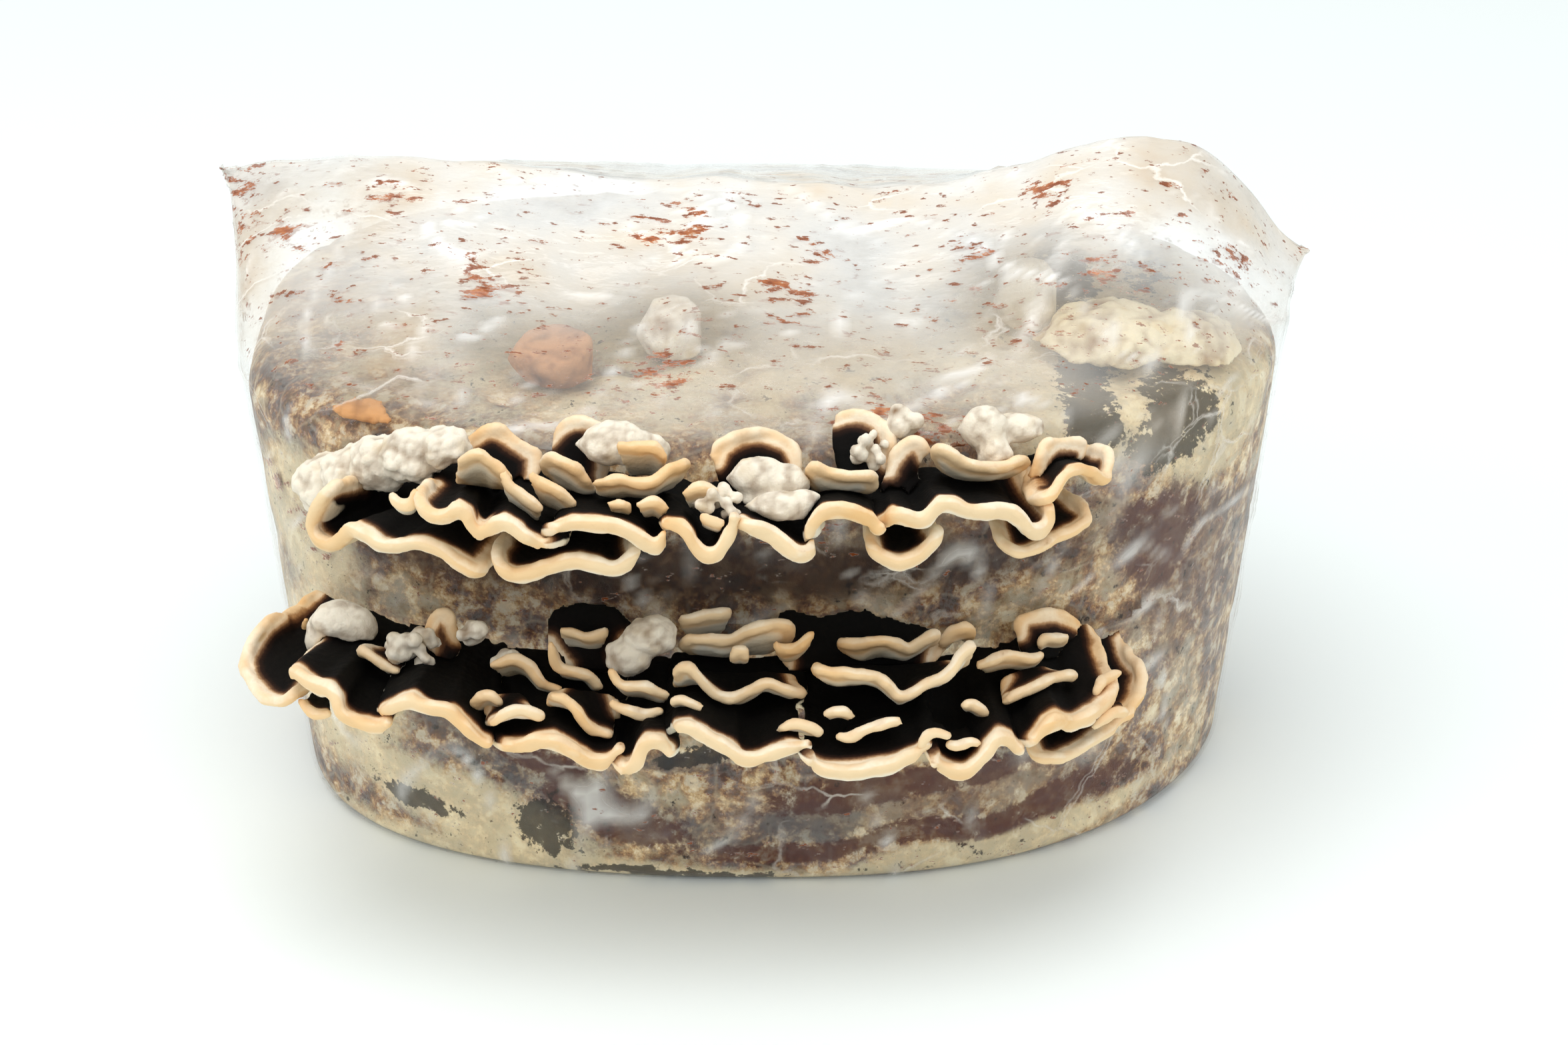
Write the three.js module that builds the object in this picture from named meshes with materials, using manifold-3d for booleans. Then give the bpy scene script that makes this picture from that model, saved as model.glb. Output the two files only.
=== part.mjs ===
// Turkey tail mushrooms that fruit in two tiers from a bagged sawdust block.
// Millimetres, +Z up. The fruiting face looks along -Y and +X is to its right.
// The origin is under the middle of the whole object, on the plane it stands on.

import * as THREE from "three";
import { mergeVertices } from "three/addons/utils/BufferGeometryUtils.js";
import Module from "manifold-3d";

// ---- Driving dimensions ----

// The bag: a rounded box that widens towards its shoulder and folds in to a ridge.
const BAG_HALF_WIDTH = 109; // at half height
const BAG_HALF_DEPTH = 76;
const BAG_FLARE = 5; // how much wider each side grows from half height to the shoulder
const SHOULDER_HEIGHT = 105;
const BASE_FOLD = 4; // radius of the bottom edge
const FILM_WALL = 1.2;
const CORNER_POWER = 2.4; // 2 is an ellipse, more is squarer
const CORNER_LEAN = 0.4; // how much squarer the left corners are than the right ones
const RIDGE_OVERHANG = 5; // how far the top fold sticks out past the shoulder
const RIDGE_BACK = 8; // how far behind the middle the top fold lies
// Height of the top fold above the shoulder, from the left ear to the right one.
const RIDGE_RISE = [26, 28, 28, 26, 24, 24, 21, 20, 25, 34, 31, 3];
const BAG_COLUMNS = 18; // across the front, and again across the back

// The block inside, and the slits that it fruits from.
const FIT_GAP = 0.35; // clearance between touching pieces
const BLOCK_ROUNDING = 9; // radius of the block's top edge
const BLOCK_CROWN = 3; // how much the block's top rises to its middle
const BLOCK_LUMP = 1.2; // depth of the hollows in the block's skin
const UPPER_SLIT = SHOULDER_HEIGHT - 8; // heights of the two slits
const LOWER_SLIT = UPPER_SLIT - 40;
const SLIT_HALF_HEIGHT = 5;
const SLIT_PROUD = 2.6; // how far the block's fruiting ridge stands out of the slit
const UPPER_SLIT_ENDS = [-72, 62]; // in percent of the bag's half width
const LOWER_SLIT_ENDS = [-86, 72];

// The mushrooms.
const CAP_THICKNESS = 2.4;
const CAP_TAPER = 3.2; // width of the thinning band along a cap's rim
const CAP_DIP = 3; // how deep a cap hangs between its root and its upturned rim
const FULL_DIP_REACH = 24; // caps shorter than this from root to rim dip less
const RIM_STEP = 3.4; // spacing of the facets along a rim
const CAP_ROWS = [0, 0.54, 1]; // facet rows, as shares of the way from root to tapered band
const ROOT_DEPTH = 4; // how far a root reaches inside the bag's face

// The breather patch on the back.
const PATCH_WIDTH = 52;
const PATCH_HEIGHT = 40;
const PATCH_THICKNESS = 0.8;
const PATCH_CENTRE_HEIGHT = SHOULDER_HEIGHT - 27;

// ---- Solids ----

const wasm = await Module();
wasm.setup();

/** Turns a closed triangle soup into a solid whose faces point outwards. */
function solidOf(geometry) {
  const bare = new THREE.BufferGeometry();
  bare.setAttribute("position", geometry.getAttribute("position"));
  bare.setIndex(geometry.index);
  const merged = mergeVertices(bare, 1e-4);
  const corners = merged.index.array;
  const faces = [];
  for (let i = 0; i < corners.length; i += 3) {
    const [a, b, c] = corners.slice(i, i + 3);
    if (a !== b && b !== c && c !== a) faces.push(a, b, c);
  }
  const places = merged.getAttribute("position").array;
  if (signedVolume(places, faces) < 0) faces.reverse();
  return new wasm.Manifold(
    new wasm.Mesh({
      numProp: 3,
      vertProperties: new Float32Array(places),
      triVerts: new Uint32Array(faces),
    }),
  );
}

/** Six times the volume inside a closed surface; it is negative when inside out. */
function signedVolume(places, faces) {
  const corner = (i) => new THREE.Vector3().fromArray(places, 3 * faces[i]);
  let sum = 0;
  for (let i = 0; i < faces.length; i += 3) {
    sum += corner(i).dot(corner(i + 1).cross(corner(i + 2)));
  }
  return sum;
}

/** The geometry of a solid's largest body: a cut can leave crumbs behind. */
function largestBody(solid) {
  const { vertProperties, triVerts } = solid.getMesh();
  const parent = Array.from({ length: vertProperties.length / 3 }, (_, i) => i);
  const rootOf = (i) => {
    while (parent[i] !== i) i = parent[i] = parent[parent[i]];
    return i;
  };
  for (let i = 0; i < triVerts.length; i += 3) {
    parent[rootOf(triVerts[i])] = rootOf(triVerts[i + 1]);
    parent[rootOf(triVerts[i + 1])] = rootOf(triVerts[i + 2]);
  }
  const bodies = new Map();
  for (let i = 0; i < triVerts.length; i += 3) {
    const key = rootOf(triVerts[i]);
    if (!bodies.has(key)) bodies.set(key, []);
    bodies.get(key).push(...triVerts.slice(i, i + 3));
  }
  const volumeOf = (faces) => signedVolume(vertProperties, faces);
  const [largest] = [...bodies.values()].sort((a, b) => volumeOf(b) - volumeOf(a));
  const geometry = new THREE.BufferGeometry();
  geometry.setAttribute("position", new THREE.Float32BufferAttribute(vertProperties, 3));
  geometry.setIndex(largest);
  const body = geometry.toNonIndexed();
  body.computeVertexNormals();
  return body;
}

/** A geometry from grid points and the cells that join them. */
function geometryOf(points, faces) {
  const geometry = new THREE.BufferGeometry();
  const places = points.flatMap((p) => [p.x, p.y, p.z]);
  geometry.setAttribute("position", new THREE.Float32BufferAttribute(places, 3));
  geometry.setIndex(faces);
  return geometry;
}

/** A closed skin over a stack of rings with equal numbers of points, fanned shut at both ends. */
function loft(rings) {
  const count = rings[0].length;
  const points = rings.flat();
  const faces = [];
  for (let r = 0; r + 1 < rings.length; r++) {
    for (let i = 0; i < count; i++) {
      const a = r * count + i;
      const b = r * count + ((i + 1) % count);
      faces.push(a, b, b + count, a, b + count, a + count);
    }
  }
  for (const [r, turn] of [[0, true], [rings.length - 1, false]]) {
    const middle = rings[r].reduce((sum, p) => sum.add(p), new THREE.Vector3()).divideScalar(count);
    const hub = points.push(middle) - 1;
    for (let i = 0; i < count; i++) {
      const a = r * count + i;
      const b = r * count + ((i + 1) % count);
      faces.push(...(turn ? [b, a, hub] : [a, b, hub]));
    }
  }
  return solidOf(geometryOf(points, faces));
}

// ---- The bag's shape, which everything else is placed on ----

const bagHalfWidth = (z) => BAG_HALF_WIDTH + BAG_FLARE * ((2 * z) / SHOULDER_HEIGHT - 1);

/** Distance from the bag's middle plane to its face at a place across it, from -1 to 1. */
function bagDepth(across) {
  const power = CORNER_POWER - CORNER_LEAN * across;
  return BAG_HALF_DEPTH * Math.max(0, 1 - Math.abs(across) ** power) ** (1 / power);
}

/** A point on the front face, at a distance across it in mm and a height. */
function onFront(x, z, out = 0) {
  return new THREE.Vector3(x, -bagDepth(x / bagHalfWidth(z)) - out, z);
}

/** A level ring just inside (or, with a negative inset, outside) the bag. */
function bagRing(z, inset) {
  const half = bagHalfWidth(z) - inset;
  const shrink = (BAG_HALF_DEPTH - inset) / BAG_HALF_DEPTH;
  return ringPlaces().map(([across, side]) => {
    return new THREE.Vector3(across * half, side * bagDepth(across) * shrink, z);
  });
}

/** The places round a ring: across from -1 to 1 on the front, and back again behind. */
function ringPlaces() {
  const places = [];
  for (let i = 0; i < BAG_COLUMNS; i++) places.push([-Math.cos((Math.PI * i) / BAG_COLUMNS), -1]);
  for (let i = 0; i < BAG_COLUMNS; i++) places.push([Math.cos((Math.PI * i) / BAG_COLUMNS), 1]);
  return places;
}

/** A ring part of the way from the shoulder up to the fold at the top. */
function tentRing(share, inset) {
  const shoulder = bagRing(SHOULDER_HEIGHT, inset);
  const half = bagHalfWidth(SHOULDER_HEIGHT) + RIDGE_OVERHANG - inset;
  const drop = 1.5 * inset;
  return ringPlaces().map(([across], i) => {
    const top = SHOULDER_HEIGHT + ridgeRise(across) - 2 * drop;
    const fold = new THREE.Vector3(across * half, RIDGE_BACK, top);
    const low = shoulder[i].setZ(SHOULDER_HEIGHT - drop);
    return new THREE.Vector3(
      THREE.MathUtils.lerp(low.x, fold.x, share),
      THREE.MathUtils.lerp(low.y, fold.y, share),
      THREE.MathUtils.lerp(low.z, fold.z, share ** 0.85),
    );
  });
}

function ridgeRise(across) {
  const place = ((across + 1) / 2) * (RIDGE_RISE.length - 1);
  const left = Math.min(Math.floor(place), RIDGE_RISE.length - 2);
  return THREE.MathUtils.lerp(RIDGE_RISE[left], RIDGE_RISE[left + 1], place - left);
}

/** The whole closed bag as a solid, inset from its outer skin. */
function bagSolid(inset) {
  const rings = [bagRing(inset, BASE_FOLD + inset)];
  for (const z of [BASE_FOLD, LOWER_SLIT]) rings.push(bagRing(z + Math.max(0, inset), inset));
  for (const share of [0, 0.2, 0.6, 1]) rings.push(tentRing(share, inset));
  return loft(rings);
}

/** The ridge of grown-through mycelium that fills a slit, tapering to both ends. */
function fruitingRidge(height, [from, to], spare) {
  const steps = 18;
  const sides = 6;
  const rings = [];
  const left = (from / 100) * BAG_HALF_WIDTH - spare;
  const right = (to / 100) * BAG_HALF_WIDTH + spare;
  for (let i = 0; i <= steps; i++) {
    const along = (2 * i) / steps - 1;
    const swell = 0.3 + 0.7 * Math.sqrt(1 - along ** 2);
    const deep = SLIT_PROUD * swell + spare + ROOT_DEPTH / 2;
    const high = SLIT_HALF_HEIGHT * swell + spare;
    const ring = Array.from({ length: sides }, (_, k) => {
      const turn = (2 * Math.PI * k) / sides;
      const x = THREE.MathUtils.lerp(left, right, i / steps);
      return onFront(x, height + Math.cos(turn) * high, Math.sin(turn) * deep - ROOT_DEPTH / 2);
    });
    rings.push(ring);
  }
  return loft(rings);
}

// ---- The block, the bag and its patch ----

const ridges = (spare) =>
  fruitingRidge(UPPER_SLIT, UPPER_SLIT_ENDS, spare).add(fruitingRidge(LOWER_SLIT, LOWER_SLIT_ENDS, spare));

/** Slow waves from 0 to 1 that stand for the hollows in a grown surface. */
function hollow(p) {
  return (Math.sin(p.x / 9 + p.z / 13) * Math.sin(p.y / 11 - p.z / 7) + 1) / 2;
}

function substrateBlock(spare = 0) {
  const skin = FILM_WALL + FIT_GAP - spare;
  const sink = (ring) =>
    ring.map((p) => {
      const share = 1 - (BLOCK_LUMP * hollow(p)) / BAG_HALF_DEPTH;
      return new THREE.Vector3(p.x * share, p.y * share, p.z);
    });
  const top = SHOULDER_HEIGHT - 2 * FILM_WALL + spare;
  const rings = [bagRing(skin, BASE_FOLD + skin)];
  for (const z of [BASE_FOLD + skin, 30, 65, top - BLOCK_ROUNDING]) rings.push(sink(bagRing(z, skin)));
  rings.push(sink(bagRing(top - 0.3 * BLOCK_ROUNDING, skin + 0.3 * BLOCK_ROUNDING)));
  rings.push(bagRing(top, skin + BLOCK_ROUNDING));
  for (const share of [0.45, 0.75]) {
    const inset = share * BAG_HALF_DEPTH;
    rings.push(
      bagRing(top, inset).map((p) => {
        return p.setZ(top + BLOCK_CROWN * share + 2 * BLOCK_LUMP * (hollow(p) - 0.5));
      }),
    );
  }
  return loft(rings);
}

/** A thin plate that follows the bag's back face. */
function breatherPatch() {
  const columns = 8;
  const rings = [];
  for (let i = 0; i <= columns; i++) {
    const x = PATCH_WIDTH * (i / columns - 0.5);
    const edge = (up, out) => {
      const z = PATCH_CENTRE_HEIGHT + (up * PATCH_HEIGHT) / 2;
      return new THREE.Vector3(x, -onFront(x, z, FIT_GAP + out).y, z);
    };
    const faces = [edge(-1, 0), edge(1, 0), edge(1, PATCH_THICKNESS), edge(-1, PATCH_THICKNESS)];
    rings.push(faces);
  }
  return loft(rings);
}

// ---- Caps and growths ----

/** A point given as percent of the half width across, mm out of the front and mm above a slit. */
function place(slit, [across, out, up]) {
  return new THREE.Vector3((across / 100) * BAG_HALF_WIDTH, -BAG_HALF_DEPTH - out, slit + up);
}

/** A root line inside the slit, from one place across to another. */
function inSlit(slit, from, to, up) {
  return [0, 1, 2, 3, 4].map((i) => {
    const x = (THREE.MathUtils.lerp(from, to, i / 4) / 100) * BAG_HALF_WIDTH;
    return onFront(x, slit + up, -ROOT_DEPTH);
  });
}

/**
 * A cap: a thin leaf drawn from its root line to its ruffled rim. It hangs between the two,
 * so that the rim turns up, and thins to an edge along its rim and its two sides.
 */
function cap(rim, root, spare = 0, dip = CAP_DIP) {
  const edge = new THREE.CatmullRomCurve3(rim, false, "centripetal");
  const foot = new THREE.CatmullRomCurve3(root, false, "centripetal");
  const columns = Math.max(5, Math.round(edge.getLength() / RIM_STEP));
  const middle = [];
  for (let i = 0; i <= columns; i++) {
    const tip = edge.getPointAt(i / columns);
    const base = foot.getPointAt(i / columns);
    const reach = tip.distanceTo(base);
    const bandStart = 1 - CAP_TAPER / Math.max(reach, 3 * CAP_TAPER);
    const line = [...CAP_ROWS.map((share) => share * bandStart), 1].map((along) => {
      const point = base.clone().lerp(tip, along);
      point.z -= dip * Math.min(1, reach / FULL_DIP_REACH) * Math.sin(Math.PI * along ** 1.3);
      return point;
    });
    middle.push(line);
  }
  if (spare) spread(middle, 2.2 * spare);
  const last = CAP_ROWS.length;
  const skin = (side) =>
    middle.map((line, i) =>
      line.map((point, j) => {
        const thin = j === last || i === 0 || i === columns;
        const depth = thin ? 0 : CAP_THICKNESS / 2 + spare;
        return point.clone().addScaledVector(leafNormal(middle, i, j), side * depth);
      }),
    );
  return leafSolid(skin(1), skin(-1));
}

/** Pushes the rim and the two sides of a leaf outwards. */
function spread(middle, distance) {
  const push = (point, inner) => {
    const away = point.clone().sub(inner).setLength(distance);
    point.add(away);
  };
  for (const line of middle) push(line[line.length - 1], line[line.length - 2].clone());
  const ends = [[0, 1], [middle.length - 1, middle.length - 2]];
  for (const [end, inner] of ends) middle[end].forEach((point, j) => push(point, middle[inner][j].clone()));
}

/** The direction square to a leaf at one of its grid points. */
function leafNormal(middle, i, j) {
  const line = middle[i];
  const across = middle[Math.min(i + 1, middle.length - 1)][j].clone().sub(middle[Math.max(i - 1, 0)][j]);
  const along = line[Math.min(j + 1, line.length - 1)].clone().sub(line[Math.max(j - 1, 0)]);
  return across.cross(along).normalize();
}

function leafSolid(top, under) {
  const columns = top.length;
  const rows = top[0].length;
  const points = [...top.flat(), ...under.flat()];
  const at = (side, i, j) => side * columns * rows + i * rows + j;
  const faces = [];
  for (let i = 0; i + 1 < columns; i++) {
    for (let j = 0; j + 1 < rows; j++) {
      for (const side of [0, 1]) {
        const [a, b, c, d] = [at(side, i, j), at(side, i + 1, j), at(side, i + 1, j + 1), at(side, i, j + 1)];
        faces.push(...(side ? [a, c, b, a, d, c] : [a, b, c, a, c, d]));
      }
    }
    faces.push(at(0, i, 0), at(1, i, 0), at(0, i + 1, 0));
    faces.push(at(1, i, 0), at(1, i + 1, 0), at(0, i + 1, 0));
  }
  return solidOf(geometryOf(points, faces));
}

/** A knobbly growth: overlapping lumps, each [across, out, up, width, depth, height]. */
function growth(slit, lumps, spare = 0) {
  const made = lumps.map(([across, out, up, wide, deep, high], i) => {
    const ball = new THREE.IcosahedronGeometry(1, 1);
    const places = ball.getAttribute("position");
    const centre = place(slit, [across, out, up]);
    for (let k = 0; k < places.count; k++) {
      const p = new THREE.Vector3().fromBufferAttribute(places, k);
      const swell = 1 + 0.08 * Math.sin(5 * p.x + 7 * p.y + 2 * i) * Math.cos(6 * p.z - 3 * p.y);
      const size = new THREE.Vector3(wide + spare, deep + spare, high + spare);
      p.multiplyScalar(swell).multiply(size).add(centre);
      places.setXYZ(k, p.x, p.y, p.z);
    }
    return solidOf(ball);
  });
  return made.reduce((sum, lump) => sum.add(lump));
}

// Each cap's rim is given at its crests and troughs. A root is a line in the slit, as
// [from, to, up], or a foot that stands on the caps below, as two points.
const UPPER_CAPS = {
  upper_shelf_west: {
    rim: [[-77, 12, 6], [-80, 12, 1], [-83, 8, -8], [-78, 14, -8], [-73, 19, -1], [-67, 23, -4],
      [-62, 25, -1], [-55, 28, -3], [-50, 28, -7]],
    slit: [-70, -44, -4],
  },
  upper_shelf_a: {
    rim: [[-61, 28, 11], [-59, 30, 7], [-55, 31, 7], [-52, 32, 11], [-50, 32, 3], [-45, 33, 8],
      [-40, 33, 2], [-36, 30, 1]],
    slit: [-60, -36, 1],
  },
  upper_shelf_b: {
    rim: [[-38, 31, 3], [-34, 33, 7], [-29, 33, 7], [-25, 33, 6], [-21, 32, 3], [-18, 32, -1], [-17, 31, 4]],
    slit: [-36, -19, 1],
  },
  upper_shelf_c: {
    rim: [[-18, 31, 3], [-16, 32, 7], [-13, 32, 5], [-12, 32, 0], [-8, 32, -2], [-6, 31, 3], [-5, 31, 6]],
    slit: [-19, -7, 0],
  },
  upper_shelf_d: {
    rim: [[-6, 31, 4], [-4, 31, 6], [0, 31, 4], [4, 31, 1], [8, 30, -3], [9, 28, 1]],
    slit: [-7, 8, 1],
  },
  upper_shelf_e: {
    rim: [[7, 29, -1], [8, 30, 3], [11, 30, 9], [15, 30, 8], [19, 29, 6], [20, 28, 3]],
    slit: [8, 19, 1],
  },
  upper_shelf_f: {
    rim: [[21, 28, 4], [24, 28, 7], [28, 27, 3], [32, 26, 9], [37, 25, 5], [43, 22, 4], [47, 21, 1],
      [48, 20, -3], [52, 17, -2], [51, 17, 2]],
    slit: [20, 46, 1],
  },
  upper_low_lobe: {
    rim: [[-48, 29, -1], [-46, 31, -5], [-40, 31, -5], [-34, 31, -2], [-29, 31, -3], [-25, 31, -5],
      [-22, 29, -1]],
    slit: [-44, -26, -4],
  },
  upper_low_lobe_right: {
    rim: [[18, 26, 0], [21, 27, -4], [25, 27, -5], [29, 25, -3], [31, 24, 0]],
    slit: [19, 29, -4],
  },
  upper_low_right: {
    rim: [[42, 18, -6], [46, 17, -9], [51, 14, -8], [56, 10, -7], [60, 6, -7], [59, 4, -4]],
    slit: [41, 53, -4],
  },
  upper_right_end: {
    rim: [[48, 18, 2], [50, 17, 4], [53, 14, 4], [55, 12, 8], [59, 8, 6], [62, 3, 0], [64, 0, 2],
      [63, -4, 5]],
    slit: [47, 58, 2],
  },
  upper_right_back: {
    rim: [[48, 3, 5], [52, -1, 8], [56, -5, 6], [60, -8, 4]],
    foot: [[49, 7, 0], [57, 0, 0]],
  },
  upper_arch_a: {
    rim: [[-56, -1, 5], [-52, 0, 10], [-48, 0, 12], [-44, 1, 8], [-40, 2, 7]],
    foot: [[-52, 9, 0], [-42, 10, 0]],
  },
  upper_arch_b: {
    rim: [[-39, 2, 7], [-38, 1, 11], [-35, 1, 14], [-31, 1, 14], [-28, 2, 9]],
    foot: [[-37, 10, 0], [-29, 10, 0]],
  },
  upper_fold: {
    rim: [[-56, 18, 10], [-53, 20, 14], [-50, 20, 16], [-47, 21, 13], [-44, 21, 10]],
    foot: [[-53, 9, 3], [-47, 9, 3]],
  },
  upper_tongue: {
    rim: [[-41, 13, 13], [-36, 16, 12], [-31, 17, 8], [-29, 15, 4]],
    foot: [[-38, 9, 4], [-32, 9, 1]],
  },
  upper_bowl: {
    rim: [[-32, 18, 7], [-28, 22, 10], [-24, 22, 11], [-20, 22, 9], [-17, 21, 12], [-14, 18, 12],
      [-13, 13, 10]],
    foot: [[-26, 10, 2], [-18, 9, 2]],
  },
  upper_fan: {
    rim: [[-9, 14, 7], [-9, 11, 12], [-6, 8, 13], [-1, 5, 13], [3, 5, 12], [6, 5, 9], [7, 8, 4]],
    foot: [[-5, 14, 1], [4, 14, 1]],
  },
  upper_cup_back: {
    rim: [[15, 2, 5], [12, 0, 9], [13, -2, 13], [18, -2, 14], [22, -1, 12], [24, 3, 9]],
    foot: [[15, 9, 1], [21, 9, 1]],
  },
  upper_cup_wing: {
    rim: [[23, 4, 11], [27, 4, 11], [30, 4, 9], [28, 6, 4], [29, 8, 2], [25, 12, 0]],
    foot: [[21, 9, 3], [21, 12, 0]],
  },
  upper_ribbon_mid: {
    rim: [[6, 16, 12], [9, 17, 12], [13, 17, 9], [17, 17, 9], [19, 17, 10], [21, 15, 5]],
    foot: [[9, 10, 2], [17, 10, 2]],
  },
  upper_ribbon_right: {
    rim: [[29, 9, 14], [32, 12, 12], [37, 11, 8], [43, 9, 7], [46, 7, 8], [49, 4, 5]],
    foot: [[33, 3, 2], [45, 1, 1]],
  },
};

const LOWER_CAPS = {
  lower_left_end: {
    rim: [[-89, -20, 1], [-95, -6, 3], [-98, 2, -1], [-95, 11, -2], [-90, 18, -2], [-86, 20, 1]],
    slit: [-85, -77, 1],
  },
  lower_shelf_a: {
    rim: [[-88, 16, 3], [-85, 21, 8], [-82, 24, 6], [-77, 27, 7], [-77, 28, 2], [-73, 29, 0], [-68, 31, 1]],
    slit: [-80, -66, 1],
  },
  lower_shelf_b: {
    rim: [[-71, 28, 1], [-67, 31, 5], [-62, 33, 9], [-60, 34, 6], [-56, 35, 7], [-53, 35, 3], [-50, 35, -1]],
    slit: [-69, -50, 1],
  },
  lower_shelf_c: {
    rim: [[-48, 34, -2], [-43, 36, -1], [-38, 37, 2], [-33, 37, -2], [-29, 37, -5], [-26, 36, -2]],
    slit: [-49, -27, 0],
  },
  lower_shelf_d: {
    rim: [[-27, 35, -4], [-24, 37, -6], [-22, 37, -2], [-22, 37, 1], [-19, 37, 2], [-17, 36, -2]],
    slit: [-26, -17, 0],
  },
  lower_shelf_e: {
    rim: [[-17, 35, 1], [-15, 37, 5], [-12, 37, 4], [-9, 37, 1], [-6, 37, 0], [-4, 37, -4], [0, 37, -3],
      [3, 37, -1], [7, 35, -1]],
    slit: [-16, 6, 1],
  },
  lower_shelf_f: {
    rim: [[7, 35, -2], [9, 37, -5], [14, 37, -6], [19, 36, -6], [25, 35, -5], [29, 33, -3]],
    slit: [7, 28, 0],
  },
  lower_shelf_g: {
    rim: [[30, 33, -3], [32, 34, -7], [37, 33, -9], [40, 32, -5], [42, 31, -1], [44, 30, -2], [46, 28, -6]],
    slit: [29, 44, 0],
  },
  lower_shelf_h: {
    rim: [[47, 28, -6], [50, 28, -3], [52, 27, 1], [56, 23, -4], [60, 20, -3], [64, 14, -4], [66, 9, -4]],
    slit: [45, 62, 1],
  },
  lower_low_right: {
    rim: [[48, 25, -9], [52, 24, -12], [58, 20, -12], [64, 12, -12], [69, 4, -12], [72, -3, -10], [71, -6, -6]],
    slit: [48, 68, -4],
  },
  lower_fold: {
    rim: [[-51, 32, 0], [-48, 34, 4], [-44, 35, 7], [-39, 34, 5]],
    foot: [[-50, 22, 2], [-43, 22, 2]],
  },
  lower_ribbon_front: {
    rim: [[-40, 29, 5], [-38, 31, 8], [-34, 31, 6], [-32, 31, 0], [-28, 31, -2], [-25, 30, -5]],
    foot: [[-38, 18, 1], [-27, 18, 0]],
  },
  lower_arch_cap: {
    rim: [[1, 32, -1], [3, 33, 2], [6, 33, 4], [9, 33, 2], [11, 32, -1]],
    foot: [[3, 24, -3], [9, 24, -3]],
  },
  lower_v_ribbon: {
    rim: [[-17, 21, 4], [-16, 23, 9], [-14, 23, 11], [-11, 23, 6], [-7, 23, 2], [-3, 23, 3], [0, 23, 7],
      [4, 23, 4], [8, 22, 3]],
    foot: [[-15, 10, 0], [6, 10, 0]],
  },
  lower_s_ribbon: {
    rim: [[8, 23, 12], [12, 25, 9], [18, 24, 9], [22, 24, 7], [25, 24, 2], [29, 23, 6], [33, 22, 7],
      [35, 21, 10], [38, 19, 13]],
    foot: [[11, 10, 1], [36, 7, 1]],
  },
  lower_back_arch: {
    rim: [[-42, 0, 5], [-40, -3, 9], [-36, -3, 12], [-31, -3, 13], [-27, -3, 12], [-24, 0, 6]],
    foot: [[-37, 8, 0], [-28, 8, 0]],
  },
  lower_back_rim: {
    rim: [[1, 0, 8], [4, -2, 13], [10, -2, 11], [17, -2, 13], [23, -3, 10], [30, -4, 7], [35, -4, 4]],
    foot: [[4, 8, 0], [32, 5, 0]],
  },
  lower_rosette: {
    rim: [[12, 9, 10], [17, 11, 7], [20, 11, 10], [24, 11, 9], [27, 10, 6], [30, 10, 10], [33, 7, 9]],
    foot: [[18, 3, 1], [28, 2, 1]],
  },
  lower_fan: {
    rim: [[47, 1, 2], [47, -1, 8], [51, -3, 8], [56, -7, 6], [61, -11, 0], [63, -14, -6]],
    foot: [[49, 4, 0], [57, -2, -3]],
  },
  lower_loop: {
    rim: [[-61, 5, 2], [-63, 3, 7], [-60, 2, 12], [-57, 3, 8], [-56, 5, 4]],
    foot: [[-61, 8, 1], [-58, 8, 1]],
  },
  lower_ribbon_left: {
    rim: [[-77, 8, 7], [-73, 11, 6], [-69, 13, 3], [-63, 15, 3]],
    foot: [[-73, 2, 2], [-65, 5, 1]],
  },
  lower_ribbon_right: {
    rim: [[42, 19, -3], [46, 18, 0], [50, 16, 1], [54, 13, 2], [58, 9, 0]],
    foot: [[44, 9, -1], [53, 5, -1]],
  },
  lower_ribbon_back: {
    rim: [[-17, 10, 9], [-12, 12, 11], [-6, 12, 9], [-3, 11, 12], [3, 11, 13], [6, 9, 11]],
    foot: [[-13, 3, 2], [2, 3, 2]],
  },
};

const UPPER_GROWTHS = {
  upper_white_mass: [[-82, -14, -9, 7, 6, 7], [-76, -7, -3, 7, 6, 6], [-70, -2, 2, 7, 6, 6],
    [-64, 1, 5, 7, 6, 6], [-58, 3, 8, 6, 5, 4]],
  upper_pale_cap: [[-27, 8, 11, 7, 5, 4.5], [-21, 7, 9, 5, 4, 4]],
  upper_pale_rosette: [[-1, 15, 7, 6, 4, 4.5], [4, 15, 6, 5, 4, 4], [1, 17, 3, 6, 4, 3]],
  upper_pale_petal: [[3, 23, 5, 6.5, 3, 3.2], [7, 22, 5, 4.5, 3, 3]],
  upper_white_stem: [[40, -1, 10, 5, 4, 5], [46, -4, 9, 6, 4, 3], [42, 2, 5, 4, 4, 5]],
};

const LOWER_GROWTHS = {
  lower_white_mass: [[-80, -4, 5, 6, 4.5, 4.5], [-77, -3, 4, 5, 4, 5], [-83, -6, 0, 4.5, 4, 6]],
  lower_pale_mass: [[-21, 10, 9, 6, 4, 4.5], [-25, 11, 5, 5, 4, 4]],
};

// Growths on top of the block, under the film, given as lumps above the shoulder.
const BLOCK_GROWTHS = {
  knob_orange: [[-78, -14, 0, 11, 8, 5]],
  knob_brown: [[-40, -33, 3, 9, 8, 8]],
  knob_white: [[-18, -45, 3, 7, 7, 9], [-11, -22, 1, 9, 7, 5]],
  knob_upright: [[51, -58, 5, 7, 7, 10]],
  crust_cream: [[66, -50, 0, 16, 14, 7], [80, -52, -2, 13, 13, 7]],
};

// ---- Assembly ----

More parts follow.
